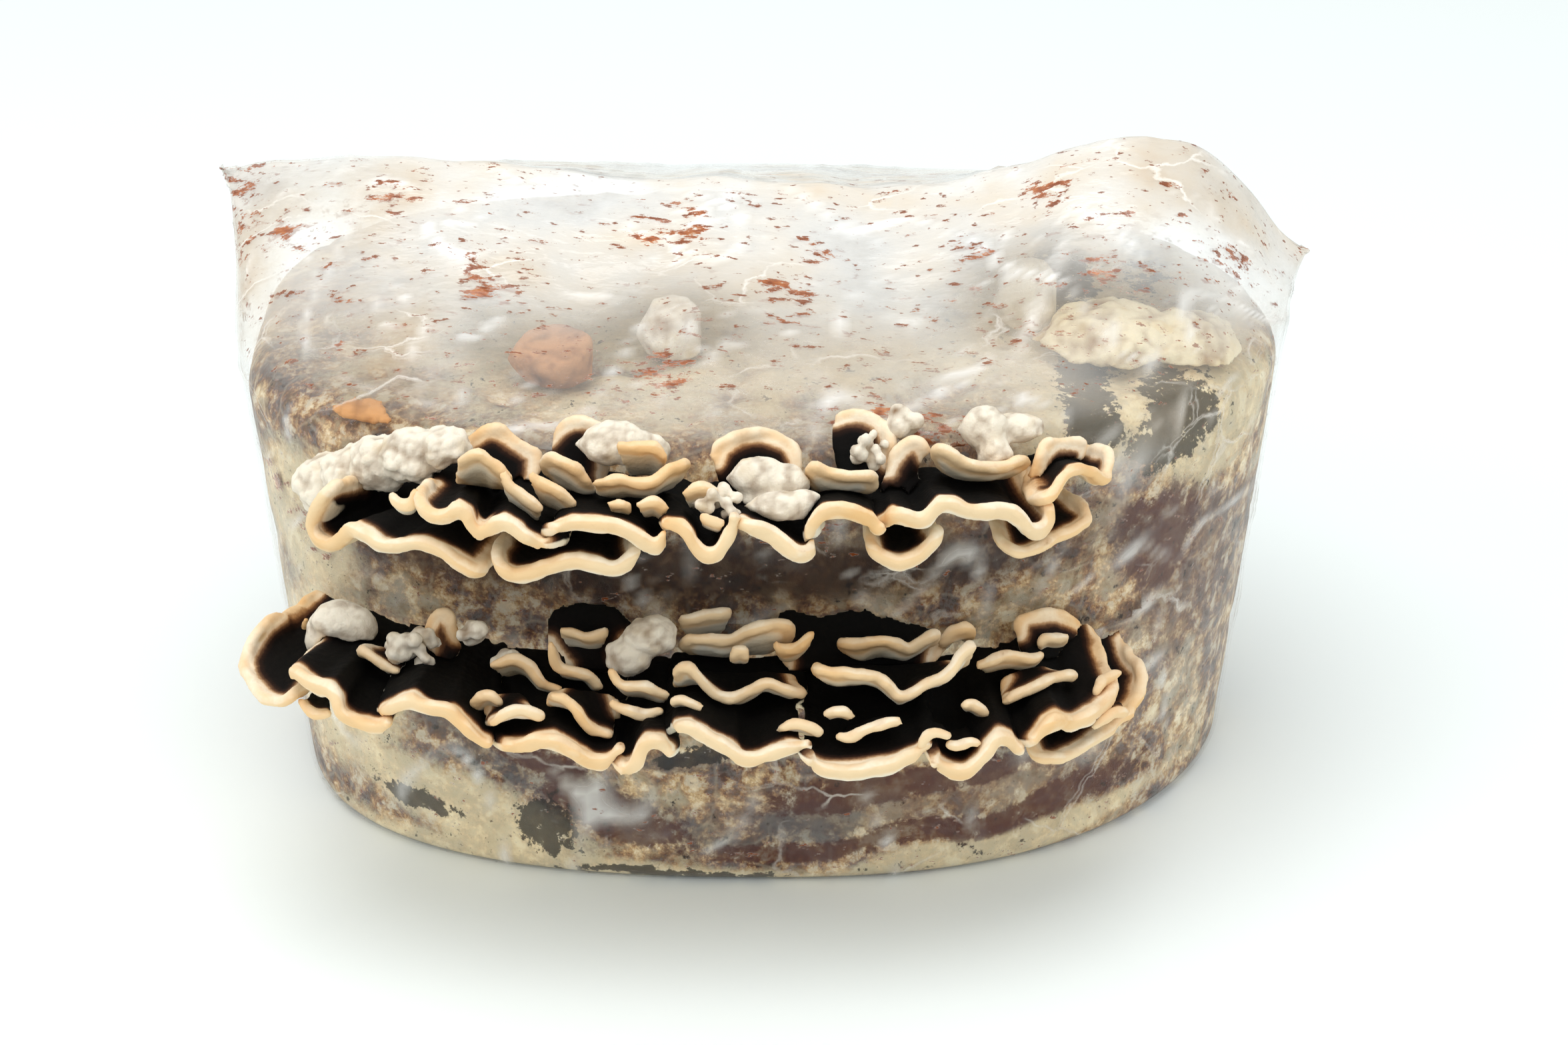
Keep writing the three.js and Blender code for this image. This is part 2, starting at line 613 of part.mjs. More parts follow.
const material = (color, roughness) => new THREE.MeshStandardMaterial({ color, roughness, metalness: 0 });
const MATERIALS = {
  substrate: () => material(0xb39a78, 0.8),
  film: () => material(0xe4e0d4, 0.15),
  patch: () => material(0xf4f4f0, 0.7),
  cap: () => material(0x16100e, 0.95),
  pale: () => material(0xe2d2b8, 0.85),
  knob: () => material(0xcf9a63, 0.7),
};

const inner = new THREE.Group();

function addMesh(name, solid, finish) {
  const mesh = new THREE.Mesh(largestBody(solid), finish);
  mesh.name = name;
  inner.add(mesh);
}

const filmSkin = bagSolid(0);
const filmWall = filmSkin.subtract(bagSolid(FILM_WALL)).subtract(ridges(FIT_GAP));
const block = substrateBlock().add(ridges(0));
addMesh("substrate_block", block, MATERIALS.substrate());
addMesh("grow_bag", filmWall, MATERIALS.film());
addMesh("filter_patch", breatherPatch(), MATERIALS.patch());

// The growths on the block keep to what is left of the room between it and the film.
let room = bagSolid(FILM_WALL + FIT_GAP).subtract(substrateBlock(FIT_GAP));
for (const [name, lumps] of Object.entries(BLOCK_GROWTHS)) {
  addMesh(name, growth(SHOULDER_HEIGHT, lumps).intersect(room), MATERIALS.knob());
  room = room.subtract(growth(SHOULDER_HEIGHT, lumps, FIT_GAP));
}

// Every cap is cut back to a clearance from the bag, the ridges and the pieces already in place.
const taken = [bagSolid(-FIT_GAP).add(ridges(FIT_GAP))];

function grow(name, shape, finish) {
  const whole = shape(0);
  const cut = taken.reduce((rest, other) => rest.subtract(other), whole);
  addMesh(name, cut, finish);
  taken.push(shape(FIT_GAP).add(whole));
}

function growCaps(slit, caps) {
  for (const [name, { rim, slit: root, foot }] of Object.entries(caps)) {
    const edge = rim.map((p) => place(slit, p));
    const line = root ? inSlit(slit, ...root) : foot.map((p) => place(slit, p));
    grow(name, (spare) => cap(edge, line, spare), MATERIALS.cap());
  }
}

function growGrowths(slit, growths) {
  for (const [name, lumps] of Object.entries(growths)) {
    grow(name, (spare) => growth(slit, lumps, spare), MATERIALS.pale());
  }
}

growCaps(UPPER_SLIT, UPPER_CAPS);
growGrowths(UPPER_SLIT, UPPER_GROWTHS);
growCaps(LOWER_SLIT, LOWER_CAPS);
growGrowths(LOWER_SLIT, LOWER_GROWTHS);

// The origin goes under the middle of everything.
const box = new THREE.Box3().setFromObject(inner);
const middle = box.getCenter(new THREE.Vector3());
inner.position.set(-middle.x, -middle.y, -box.min.z);

const mushrooms = new THREE.Group();
mushrooms.add(inner);

export default mushrooms;
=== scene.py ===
"""Looks for the turkey tail mushrooms: two tiers that fruit from a bagged sawdust block.

Laid out as an add-on and run as a script. Each operator makes one piece or one group of
like pieces round the CAD frame. Metres, +Z up, the fruiting face looks along -Y.
"""

import math

import bmesh
import bpy
import numpy as np
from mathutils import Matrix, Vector, kdtree, noise
from mathutils.bvhtree import BVHTree


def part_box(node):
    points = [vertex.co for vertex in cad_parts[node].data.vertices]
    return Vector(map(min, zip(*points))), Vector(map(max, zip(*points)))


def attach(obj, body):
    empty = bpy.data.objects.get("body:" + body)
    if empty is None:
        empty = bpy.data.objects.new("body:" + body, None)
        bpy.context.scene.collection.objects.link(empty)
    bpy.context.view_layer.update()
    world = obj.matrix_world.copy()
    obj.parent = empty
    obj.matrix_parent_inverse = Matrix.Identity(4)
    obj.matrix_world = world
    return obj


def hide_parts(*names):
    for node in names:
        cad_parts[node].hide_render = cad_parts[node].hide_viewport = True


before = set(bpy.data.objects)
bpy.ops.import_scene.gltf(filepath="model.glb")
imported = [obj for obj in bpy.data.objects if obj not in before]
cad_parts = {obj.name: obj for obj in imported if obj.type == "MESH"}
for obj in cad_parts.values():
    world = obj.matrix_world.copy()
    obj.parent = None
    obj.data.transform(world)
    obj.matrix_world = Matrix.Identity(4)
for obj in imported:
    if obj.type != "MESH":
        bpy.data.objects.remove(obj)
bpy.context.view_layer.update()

bl_info = {
    "name": "Turkey tail fruiting block",
    "version": (1, 0, 0),
    "blender": (4, 5, 0),
    "location": "View3D > Sidebar > Turkey tail",
    "description": "Builds the film bag, the mycelium block and the mushrooms round the CAD frame",
    "category": "Object",
}

MM = 0.001
BAG = "grow_bag"
BLOCK = "substrate_block"
PATCH = "filter_patch"
RESTING = [n for n in sorted(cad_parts) if n.startswith(("knob_", "crust_"))]
PALE = [n for n in sorted(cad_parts) if "_white_" in n or "_pale_" in n]
CAPS = [
    n for n in sorted(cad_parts) if n not in RESTING and n not in PALE and n not in (BAG, BLOCK, PATCH)
]
BAG_LOW, BAG_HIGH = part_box(BAG)
BAG_MIDDLE_Y = (BAG_LOW.y + BAG_HIGH.y) / 2
FRONT_Y = BAG_LOW.y
HALF_WIDTH = 0.109
UPPER_SLIT = 0.097
LOWER_SLIT = 0.057
# The bag's shape, in mm, as the CAD part has it.
BAG_HALF_DEPTH = 76
SHOULDER = 105
BASE_FOLD = 4
RIDGE_BACK = 8
RIDGE_RISE = (26, 28, 28, 26, 24, 24, 21, 20, 25, 34, 31, 3)

# ---- Small tools ----


def linear(code):
    """An sRGB hex colour as linear RGBA."""
    parts = [int(code[i : i + 2], 16) / 255 for i in (1, 3, 5)]
    return [c / 12.92 if c <= 0.04045 else ((c + 0.055) / 1.055) ** 2.4 for c in parts] + [1.0]


def node(tree, kind, settings=None, links=None):
    """Adds a node. Settings are its properties or its sockets' values; links feed its sockets."""
    made = tree.nodes.new(kind)
    for key, value in (settings or {}).items():
        if isinstance(key, str) and hasattr(made, key):
            setattr(made, key, value)
        else:
            made.inputs[key].default_value = value
    for key, source in (links or {}).items():
        is_socket = isinstance(source, bpy.types.NodeSocket)
        tree.links.new(source if is_socket else source.outputs[0], made.inputs[key])
    return made


def stops(ramp, places):
    """Gives a colour ramp its stops: (place from 0 to 1, hex colour)."""
    bar = ramp.color_ramp
    while len(bar.elements) > 1:
        bar.elements.remove(bar.elements[0])
    bar.elements[0].position, bar.elements[0].color = places[0][0], linear(places[0][1])
    for spot, code in places[1:]:
        bar.elements.new(spot).color = linear(code)
    return ramp


def new_material(name):
    """An empty material, its tree and its output node."""
    made = bpy.data.materials.new(name)
    made.use_nodes = True
    made.node_tree.nodes.clear()
    return made, made.node_tree, made.node_tree.nodes.new("ShaderNodeOutputMaterial")


def pick_only(obj):
    bpy.ops.object.select_all(action="DESELECT")
    obj.select_set(True)
    bpy.context.view_layer.objects.active = obj


def modify(obj, kind, **settings):
    """Adds a modifier with its settings and applies it."""
    pick_only(obj)
    mod = obj.modifiers.new(kind.title(), kind)
    for key, value in settings.items():
        setattr(mod, key, value)
    bpy.ops.object.modifier_apply(modifier=mod.name)


def copy_of(cad_node, name):
    """A copy of a CAD node with its loose triangles merged to one skin."""
    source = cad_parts[cad_node]
    made = bpy.data.objects.new(name, source.data.copy())
    bpy.context.scene.collection.objects.link(made)
    made.data.materials.clear()
    pick_only(made)
    bpy.ops.object.mode_set(mode="EDIT")
    bpy.ops.mesh.select_all(action="SELECT")
    bpy.ops.mesh.remove_doubles(threshold=0.01 * MM)
    bpy.ops.object.mode_set(mode="OBJECT")
    return made


def join(obj, others):
    pick_only(obj)
    for other in others:
        other.select_set(True)
    bpy.context.view_layer.objects.active = obj
    bpy.ops.object.join()
    return obj


def remesh(obj, size_mm, smoothing):
    """One even skin over all that the object holds, then softened."""
    modify(obj, "REMESH", mode="VOXEL", voxel_size=size_mm * MM)
    if smoothing:
        modify(obj, "SMOOTH", factor=0.5, iterations=smoothing)


def vertex_places(obj):
    flat = np.empty(3 * len(obj.data.vertices), np.float32)
    obj.data.vertices.foreach_get("co", flat)
    return flat.reshape(-1, 3).astype(float)


def vertex_normals(obj):
    flat = np.empty(3 * len(obj.data.vertices), np.float32)
    obj.data.vertex_normals.foreach_get("vector", flat)
    return flat.reshape(-1, 3).astype(float)


def set_places(obj, places):
    obj.data.vertices.foreach_set("co", places.astype(np.float32).ravel())
    obj.data.update()


def mark(obj, name, values):
    """Stores one number for each vertex, for the materials to read."""
    layer = obj.data.attributes.new(name, "FLOAT", "POINT")
    layer.data.foreach_set("value", np.asarray(values, np.float32))


def step(low, high, value):
    """0 below low, 1 above high and smooth between."""
    share = np.clip((value - low) / (high - low), 0, 1)
    return share * share * (3 - 2 * share)


def waves(places, size_mm, seed=0.0, stretch=(1, 1, 1)):
    """Smooth noise from -1 to 1 whose lumps have that size."""
    k = 1 / (size_mm * MM)
    a, b, c = (k / s for s in stretch)
    return np.array([
        noise.noise(Vector((x * a + seed, y * b - seed, z * c + 2 * seed))) for x, y, z in places
    ])


def cells(places, size_mm, seed=0.0):
    """Distance to the nearest lump's middle, about 0 to 1, for popcorn-like surfaces."""
    k = 1 / (size_mm * MM)
    found = [noise.voronoi(Vector((x * k + seed, y * k, z * k - seed)))[0][0] for x, y, z in places]
    return np.array(found)


def finish_piece(obj, material, stands_for=()):
    obj.data.materials.clear()
    obj.data.materials.append(material)
    for face in obj.data.polygons:
        face.use_smooth = True
    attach(obj, "root")
    for cad_node in stands_for:
        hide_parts(cad_node)


def at_slit(slit, across, out, up):
    """A place given in percent of the half width across, mm out of the front and mm above a slit."""
    return Vector((across / 100 * HALF_WIDTH, FRONT_Y - out * MM, slit + up * MM))


# ---- Settings ----


class FilmSettings(bpy.types.PropertyGroup):
    wall: bpy.props.FloatProperty(
        name="Film wall", description="Thickness of the drawn film", default=0.0005, unit="LENGTH"
    )
    columns: bpy.props.IntProperty(name="Columns", description="Mesh columns round the bag", default=280)
    rows: bpy.props.IntProperty(
        name="Rows", description="Mesh rows from under the bag to its fold", default=140
    )
    crease: bpy.props.FloatProperty(
        name="Crease height", description="Height of the sharp creases", default=0.0011, unit="LENGTH"
    )
    sag: bpy.props.FloatProperty(
        name="Slack", description="Depth of the soft folds in the loose top", default=0.004, unit="LENGTH"
    )
    haze: bpy.props.FloatProperty(
        name="Haze", description="How milky the loose top is", default=0.74, subtype="FACTOR", min=0, max=1
    )


class BlockSettings(bpy.types.PropertyGroup):
    columns: bpy.props.IntProperty(name="Columns", description="Mesh columns round the block", default=320)
    rows: bpy.props.IntProperty(name="Rows", description="Mesh rows from under it to its top", default=150)
    hollows: bpy.props.FloatProperty(
        name="Hollows", description="Depth of the hollows in the grown skin", default=0.0012, unit="LENGTH"
    )


class CapSettings(bpy.types.PropertyGroup):
    lip: bpy.props.FloatProperty(
        name="Lip radius", description="Radius of the rounded rim", default=0.00132, unit="LENGTH"
    )
    skirt: bpy.props.FloatProperty(
        name="Skirt radius", description="Radius of the fluted edge under a rim", default=0.0012,
        unit="LENGTH",
    )
    grid: bpy.props.FloatProperty(
        name="Grid", description="Spacing of a cap's mesh in millimetres", default=0.62
    )
    softening: bpy.props.IntProperty(
        name="Softening", description="Rounds of smoothing after the skin is made", default=5
    )


class GrowthSettings(bpy.types.PropertyGroup):
    grain: bpy.props.FloatProperty(
        name="Grain", description="Size of the small lumps in millimetres", default=2.4
    )
    relief: bpy.props.FloatProperty(
        name="Relief", description="How far the small lumps stand out", default=0.0009, unit="LENGTH"
    )


class StageSettings(bpy.types.PropertyGroup):
    target: bpy.props.FloatVectorProperty(
        name="Target", description="The point that the camera looks at", default=(0.004, 0.01803, 0.048),
        subtype="XYZ",
    )
    distance: bpy.props.FloatProperty(
        name="Distance", description="From the target to the camera", default=0.76, unit="LENGTH"
    )
    elevation: bpy.props.FloatProperty(
        name="Elevation", description="Height of the view above the horizon", default=math.radians(27),
        unit="ROTATION",
    )
    lens: bpy.props.FloatProperty(name="Lens", description="Focal length in millimetres", default=77.3)


# ---- Materials ----


def cap_material():
    """Bracket fungus: velvet upper side, smooth growing rim, pored underside.

    The velvet takes nearly all light, the rim is matt and creamy, and the pores are a
    chalky grey-white. Zones follow the distance from the rim in mm.
    """
    made, tree, out = new_material("Turkey tail velvet, rim and pores")
    coords = node(tree, "ShaderNodeTexCoord").outputs["Object"]
    gap = node(tree, "ShaderNodeAttribute", {"attribute_name": "rim_gap"}).outputs["Fac"]
    upper = node(tree, "ShaderNodeAttribute", {"attribute_name": "upper"}).outputs["Fac"]
    wander = node(tree, "ShaderNodeTexNoise", {"Scale": 1 / (5 * MM), "Detail": 3.0}, {"Vector": coords})
    fine = node(tree, "ShaderNodeTexNoise", {"Scale": 1 / (0.9 * MM), "Detail": 4.0}, {"Vector": coords})
    broad = node(tree, "ShaderNodeTexNoise", {"Scale": 1 / (22 * MM), "Detail": 2.0}, {"Vector": coords})
    shift = node(tree, "ShaderNodeMath", {"operation": "MULTIPLY_ADD", 1: 1.3, 2: -0.65}, {0: wander})
    ragged = node(tree, "ShaderNodeMath", {"operation": "MULTIPLY_ADD", 1: 0.5}, {0: fine, 2: shift})
    moved = node(tree, "ShaderNodeMath", {"operation": "ADD"}, {0: gap, 1: ragged})
    share = node(tree, "ShaderNodeMath", {"operation": "DIVIDE", 1: 8.0}, {0: moved})

    top = stops(
        node(tree, "ShaderNodeValToRGB", {}, {0: share}),
        [(0.0, "#EAC696"), (0.12, "#F0D3AC"), (0.2, "#F6E6CC"), (0.26, "#E9D2B4"), (0.3, "#B8946F"),
         (0.36, "#6A4A34"), (0.44, "#2A1912"), (0.56, "#0C0807"), (1.0, "#060504")],
    )
    under = stops(
        node(tree, "ShaderNodeValToRGB", {}, {0: share}),
        [(0.0, "#F0D6AE"), (0.24, "#EED2A8"), (0.33, "#F1E3CB"), (0.42, "#E8E2D0"), (1.0, "#DAD2BC")],
    )
    pores = node(tree, "ShaderNodeTexVoronoi", {"Scale": 1 / (0.7 * MM)}, {"Vector": coords})
    pore_dark = node(
        tree, "ShaderNodeMapRange",
        {"From Min": 0.05, "From Max": 0.45, "To Min": 0.72, "To Max": 1.0}, {"Value": pores},
    )
    pored = node(
        tree, "ShaderNodeMix", {"data_type": "RGBA", "blend_type": "MULTIPLY"},
        {0: node(tree, "ShaderNodeMapRange", {"From Min": 3.5, "From Max": 6.0}, {"Value": gap}),
         6: under.outputs[0], 7: pore_dark},
    ).outputs[2]
    side = node(tree, "ShaderNodeMapRange", {"From Min": 0.35, "From Max": 0.65}, {"Value": upper})
    plain = node(
        tree, "ShaderNodeMix", {"data_type": "RGBA"}, {0: side, 6: pored, 7: top.outputs[0]}
    ).outputs[2]
    # Older rims are more orange, younger ones paler.
    ageing = node(tree, "ShaderNodeMapRange", {"From Min": 0.42, "From Max": 0.68}, {"Value": broad})
    tinted = node(
        tree, "ShaderNodeMix", {"data_type": "RGBA", "blend_type": "MULTIPLY", 7: linear("#FBE7CB")},
        {0: ageing, 6: plain},
    ).outputs[2]
    # Faint zone lines in the velvet, 2.2 mm apart, and its short nap.
    rings = node(tree, "ShaderNodeMath", {"operation": "SINE"}, {
        0: node(tree, "ShaderNodeMath", {"operation": "MULTIPLY", 1: 2 * math.pi / 2.2}, {0: moved})})
    nap = node(tree, "ShaderNodeMath", {"operation": "MULTIPLY_ADD", 1: 0.12}, {0: rings, 2: fine})
    bump = node(tree, "ShaderNodeBump", {"Strength": 0.45, "Distance": 0.25 * MM}, {"Height": nap})
    skin = node(
        tree, "ShaderNodeBsdfPrincipled",
        {"Roughness": 0.78, "IOR": 1.4, "Specular IOR Level": 0.16},
        {"Base Color": tinted, "Normal": bump},
    )
    tree.links.new(skin.outputs[0], out.inputs[0])
    return made


def growth_material(name, light, mid, crevice_shade_colour):
    """Unformed fungus tissue: a matt, felted surface, with painted shade that darkens its crevices."""
    made, tree, out = new_material(name)
    coords = node(tree, "ShaderNodeTexCoord").outputs["Object"]
    hollow = node(tree, "ShaderNodeAttribute", {"attribute_name": "hollow"}).outputs["Fac"]
    broad = node(tree, "ShaderNodeTexNoise", {"Scale": 1 / (7 * MM), "Detail": 3.0}, {"Vector": coords})
    felt = node(tree, "ShaderNodeTexNoise", {"Scale": 1 / (0.6 * MM), "Detail": 4.0}, {"Vector": coords})
    tone = stops(
        node(tree, "ShaderNodeValToRGB", {}, {0: broad}),
        [(0.3, mid), (0.46, light), (0.62, light), (0.75, mid)],
    )
    # Painted shade: where the hollow mark is high, in the crevices, the colour goes towards the dark crevice
    # colour.
    crevice_shade = node(tree, "ShaderNodeMapRange", {"From Min": 0.52, "From Max": 0.95}, {"Value": hollow})
    shade = node(
        tree, "ShaderNodeMix", {"data_type": "RGBA", 7: linear(crevice_shade_colour)}, {0: crevice_shade, 6: tone.outputs[0]}
    ).outputs[2]
    bump = node(tree, "ShaderNodeBump", {"Strength": 0.6, "Distance": 0.25 * MM}, {"Height": felt})
    skin = node(
        tree, "ShaderNodeBsdfPrincipled",
        {"Roughness": 0.85, "IOR": 1.4, "Specular IOR Level": 0.25,
         "Subsurface Weight": 0.08, "Subsurface Radius": (2 * MM, 1.4 * MM, 0.9 * MM)},
        {"Base Color": shade, "Normal": bump},
    )
    tree.links.new(skin.outputs[0], out.inputs[0])
    return made


def block_material():
    """Sawdust grown through with mycelium, pressed wet against the film.

    White to tan felt over brown wood, with slate-grey and red-brown stains where the
    fungus has walled itself off, and painted shade that darkens it between the tiers.
    The film clings to it, so it shines as if varnished.
    """
    made, tree, out = new_material("Mycelium grown sawdust")
    coords = node(tree, "ShaderNodeTexCoord").outputs["Object"]
    stain = {
        name: node(tree, "ShaderNodeAttribute", {"attribute_name": name}).outputs["Fac"]
        for name in ("ivory", "brown", "slate", "red", "ink", "grey", "dim")
    }
    warp = node(tree, "ShaderNodeTexNoise", {"Scale": 1 / (14 * MM), "Detail": 1.0}, {"Vector": coords})
    bent = node(
        tree, "ShaderNodeVectorMath", {"operation": "MULTIPLY_ADD", 1: (0.0035, 0.0035, 0.003)},
        {0: warp.outputs["Color"], 2: coords},
    )
    patch = node(
        tree, "ShaderNodeTexNoise", {"Scale": 1 / (17 * MM), "Detail": 9.0, "Roughness": 0.68},
        {"Vector": bent},
    )
    blot = node(
        tree, "ShaderNodeTexNoise", {"Scale": 1 / (5.0 * MM), "Detail": 9.0, "Roughness": 0.7},
        {"Vector": bent},
    )
    grit = node(
        tree, "ShaderNodeTexNoise", {"Scale": 1 / (1.5 * MM), "Detail": 5.0, "Roughness": 0.7},
        {"Vector": bent},
    )
    veins = node(
        tree, "ShaderNodeTexVoronoi", {"feature": "DISTANCE_TO_EDGE", "Scale": 1 / (8 * MM)}, {"Vector": bent}
    )
    base = stops(
        node(tree, "ShaderNodeValToRGB", {}, {0: patch}),
        [(0.36, "#EEE3C8"), (0.43, "#D9C299"), (0.47, "#B2906A"), (0.5, "#84644A"), (0.54, "#8D8784"),
         (0.59, "#5A3B28"), (0.65, "#341C13")],
    ).outputs[0]
    marks = stops(
        node(tree, "ShaderNodeValToRGB", {}, {0: blot}),
        [(0.39, "#F6EACD"), (0.45, "#CFA973"), (0.49, "#875533"), (0.53, "#4A2414"), (0.6, "#1B0C08")],
    ).outputs[0]
    mottled = node(tree, "ShaderNodeMix", {"data_type": "RGBA", 0: 0.5}, {6: base, 7: marks}).outputs[2]
    vein = node(tree, "ShaderNodeMapRange", {"From Min": 0.0, "From Max": 0.07, "To Min": 0.16, "To Max": 0.0},
                {"Value": veins})
    colour = node(
        tree, "ShaderNodeMix", {"data_type": "RGBA", 7: linear("#EFE3C6")}, {0: vein, 6: mottled}
    ).outputs[2]

    def stained(under, mask, code, soft, rough, strength=1.0):
        """Lays a stain over a colour, with an edge torn by the blotches and the grit."""
        torn = node(tree, "ShaderNodeMath", {"operation": "MULTIPLY_ADD", 1: rough}, {0: blot, 2: mask})
        torn = node(tree, "ShaderNodeMath", {"operation": "MULTIPLY_ADD", 1: 0.5 * rough}, {0: grit, 2: torn})
        edge = 0.5 + 0.75 * rough
        cut = node(
            tree, "ShaderNodeMapRange",
            {"From Min": edge - soft, "From Max": edge + soft, "To Max": strength}, {"Value": torn},
        )
        return node(
            tree, "ShaderNodeMix", {"data_type": "RGBA", 7: linear(code)}, {0: cut, 6: under}
        ).outputs[2]

    colour = stained(colour, stain["grey"], "#98918A", 0.25, 1.6, 0.22)
    colour = stained(colour, stain["brown"], "#5A341D", 0.22, 1.9, 0.4)
    colour = stained(colour, stain["ivory"], "#EFDFB8", 0.22, 1.5, 0.6)
    colour = stained(colour, stain["slate"], "#4E5459", 0.2, 1.2, 0.5)
    colour = stained(colour, stain["red"], "#481206", 0.14, 1.9, 0.76)
    colour = stained(colour, stain["ink"], "#120D0B", 0.06, 3.2, 0.85)
    speck = node(
        tree, "ShaderNodeMapRange", {"From Min": 0.62, "From Max": 0.68, "To Max": 0.65}, {"Value": grit}
    )
    flecked = node(
        tree, "ShaderNodeMix", {"data_type": "RGBA", 7: linear("#55331F")}, {0: speck, 6: colour}
    ).outputs[2]
    # Painted shade: between the tiers, under the upper tier, the block is multiplied darker and browner.
    shaded_between_tiers = node(
        tree, "ShaderNodeMix", {"data_type": "RGBA", "blend_type": "MULTIPLY", 7: linear("#6B5647")},
        {0: stain["dim"], 6: flecked},
    ).outputs[2]
    relief = node(tree, "ShaderNodeMath", {"operation": "MULTIPLY_ADD", 1: 0.3}, {0: grit, 2: patch})
    bump = node(tree, "ShaderNodeBump", {"Strength": 0.6, "Distance": 1.1 * MM}, {"Height": relief})
    skin = node(
        tree, "ShaderNodeBsdfPrincipled",
        {"Roughness": 0.6, "IOR": 1.42, "Coat Weight": 0.25, "Coat Roughness": 0.12, "Coat IOR": 1.45},
        {"Base Color": shaded_between_tiers, "Normal": bump},
    )
    tree.links.new(skin.outputs[0], out.inputs[0])
    return made


def film_material():
    """Blown polypropylene film: clear and glossy, milky where breath has misted it.

    Creases show as white lines, partly the whitening of creased film and partly painted highlight, and
    rust-coloured spore droppings stick to it.
    """
    made, tree, out = new_material("Polypropylene grow bag film")
    coords = node(tree, "ShaderNodeTexCoord").outputs["Object"]
    haze = node(tree, "ShaderNodeAttribute", {"attribute_name": "haze"}).outputs["Fac"]
    crease_whitening_and_glint = node(tree, "ShaderNodeAttribute", {"attribute_name": "crease_whitening_and_glint"}).outputs["Fac"]
    rusty = node(tree, "ShaderNodeAttribute", {"attribute_name": "rust"}).outputs["Fac"]
    cloud = node(tree, "ShaderNodeTexNoise", {"Scale": 1 / (26 * MM), "Detail": 6.0}, {"Vector": coords})
    drawn = node(tree, "ShaderNodeMapping", {"Rotation": (0, math.radians(-28), 0), "Scale": (0.45, 1, 1)},
                 {"Vector": coords})
    drops = node(
        tree, "ShaderNodeTexNoise", {"Scale": 1 / (2.6 * MM), "Detail": 5.0, "Roughness": 0.7},
        {"Vector": drawn},
    )
    dust = node(tree, "ShaderNodeTexNoise", {"Scale": 1 / (1.3 * MM), "Detail": 3.0}, {"Vector": drawn})
    edge = node(tree, "ShaderNodeLayerWeight", {"Blend": 0.12}).outputs["Facing"]

    uneven = node(
        tree, "ShaderNodeMapRange", {"From Min": 0.3, "From Max": 0.7, "To Min": 0.55, "To Max": 1.3},
        {"Value": cloud},
    )
    mist = node(tree, "ShaderNodeMath", {"operation": "MULTIPLY"}, {0: haze, 1: uneven})
    # A droppings mask: the noise has to rise above a level that the rust spots lower.
    level = node(tree, "ShaderNodeMath", {"operation": "MULTIPLY_ADD", 1: 0.15}, {0: rusty, 2: drops})
    spots = node(tree, "ShaderNodeMapRange", {"From Min": 0.655, "From Max": 0.69}, {"Value": level})
    thin = node(tree, "ShaderNodeMath", {"operation": "MULTIPLY_ADD", 1: 0.1}, {0: rusty, 2: dust})
    fine_spots = node(tree, "ShaderNodeMapRange", {"From Min": 0.69, "From Max": 0.74}, {"Value": thin})
    rust = node(tree, "ShaderNodeMath", {"operation": "MAXIMUM"}, {0: spots, 1: fine_spots})
    # Hairline creases, drawn as wide as they need to show: white lines of painted highlight, partly the
    # whitening of creased film.
    cracks = node(
        tree, "ShaderNodeTexVoronoi", {"feature": "DISTANCE_TO_EDGE", "Scale": 1 / (17 * MM)},
        {"Vector": node(tree, "ShaderNodeVectorMath", {"operation": "MULTIPLY_ADD", 1: (0.02, 0.02, 0.02)},
                        {0: cloud.outputs["Color"], 2: drawn})},
    )
    hair = node(tree, "ShaderNodeMapRange", {"From Min": 0.0, "From Max": 0.022, "To Min": 1.0, "To Max": 0.0},
                {"Value": cracks})
    broken = node(
        tree, "ShaderNodeMapRange", {"From Min": 0.52, "From Max": 0.62, "To Max": 0.4}, {"Value": cloud}
    )
    hairline_glint = node(tree, "ShaderNodeMath", {"operation": "MULTIPLY"}, {0: hair, 1: broken})
    # Painted highlight: the crease lines make the film more opaque and white, partly the whitening of creased
    # film.
    lines = node(tree, "ShaderNodeMath", {"operation": "MAXIMUM"}, {0: crease_whitening_and_glint, 1: hairline_glint})

    film = node(tree, "ShaderNodeMath", {"operation": "MULTIPLY_ADD", 1: 0.15}, {0: edge, 2: mist})
    lined = node(tree, "ShaderNodeMath", {"operation": "MULTIPLY_ADD", 1: 0.95}, {0: lines, 2: film})
    alpha = node(
        tree, "ShaderNodeMath", {"operation": "MAXIMUM", "use_clamp": True},
        {0: lined, 1: node(tree, "ShaderNodeMath", {"operation": "MULTIPLY", 1: 0.8}, {0: rust})},
    )
    warmth = stops(
        node(tree, "ShaderNodeValToRGB", {}, {0: cloud}),
        [(0.36, "#FBFAF7"), (0.5, "#F4EEE5"), (0.62, "#E8DCCB"), (0.7, "#DCC9B2")],
    ).outputs[0]
    milky_and_glint_colour = node(
        tree, "ShaderNodeMix", {"data_type": "RGBA", 7: linear("#FFFFFF")}, {0: lines, 6: warmth}
    ).outputs[2]
    rusts = stops(
        node(tree, "ShaderNodeValToRGB", {}, {0: dust}),
        [(0.35, "#CF8A52"), (0.5, "#B5673A"), (0.65, "#8A4724")],
    ).outputs[0]
    colour = node(tree, "ShaderNodeMix", {"data_type": "RGBA"}, {0: rust, 6: milky_and_glint_colour, 7: rusts}).outputs[2]
    ripple = node(tree, "ShaderNodeTexNoise", {"Scale": 1 / (7 * MM), "Detail": 4.0}, {"Vector": drawn})
    bump = node(tree, "ShaderNodeBump", {"Strength": 0.8, "Distance": 1.6 * MM}, {"Height": ripple})
    skin = node(
        tree, "ShaderNodeBsdfPrincipled",
        {"Roughness": 0.1, "IOR": 1.49, "Specular IOR Level": 0.65},
        {"Base Color": colour, "Alpha": alpha, "Normal": bump},
    )
    tree.links.new(skin.outputs[0], out.inputs[0])
    return made


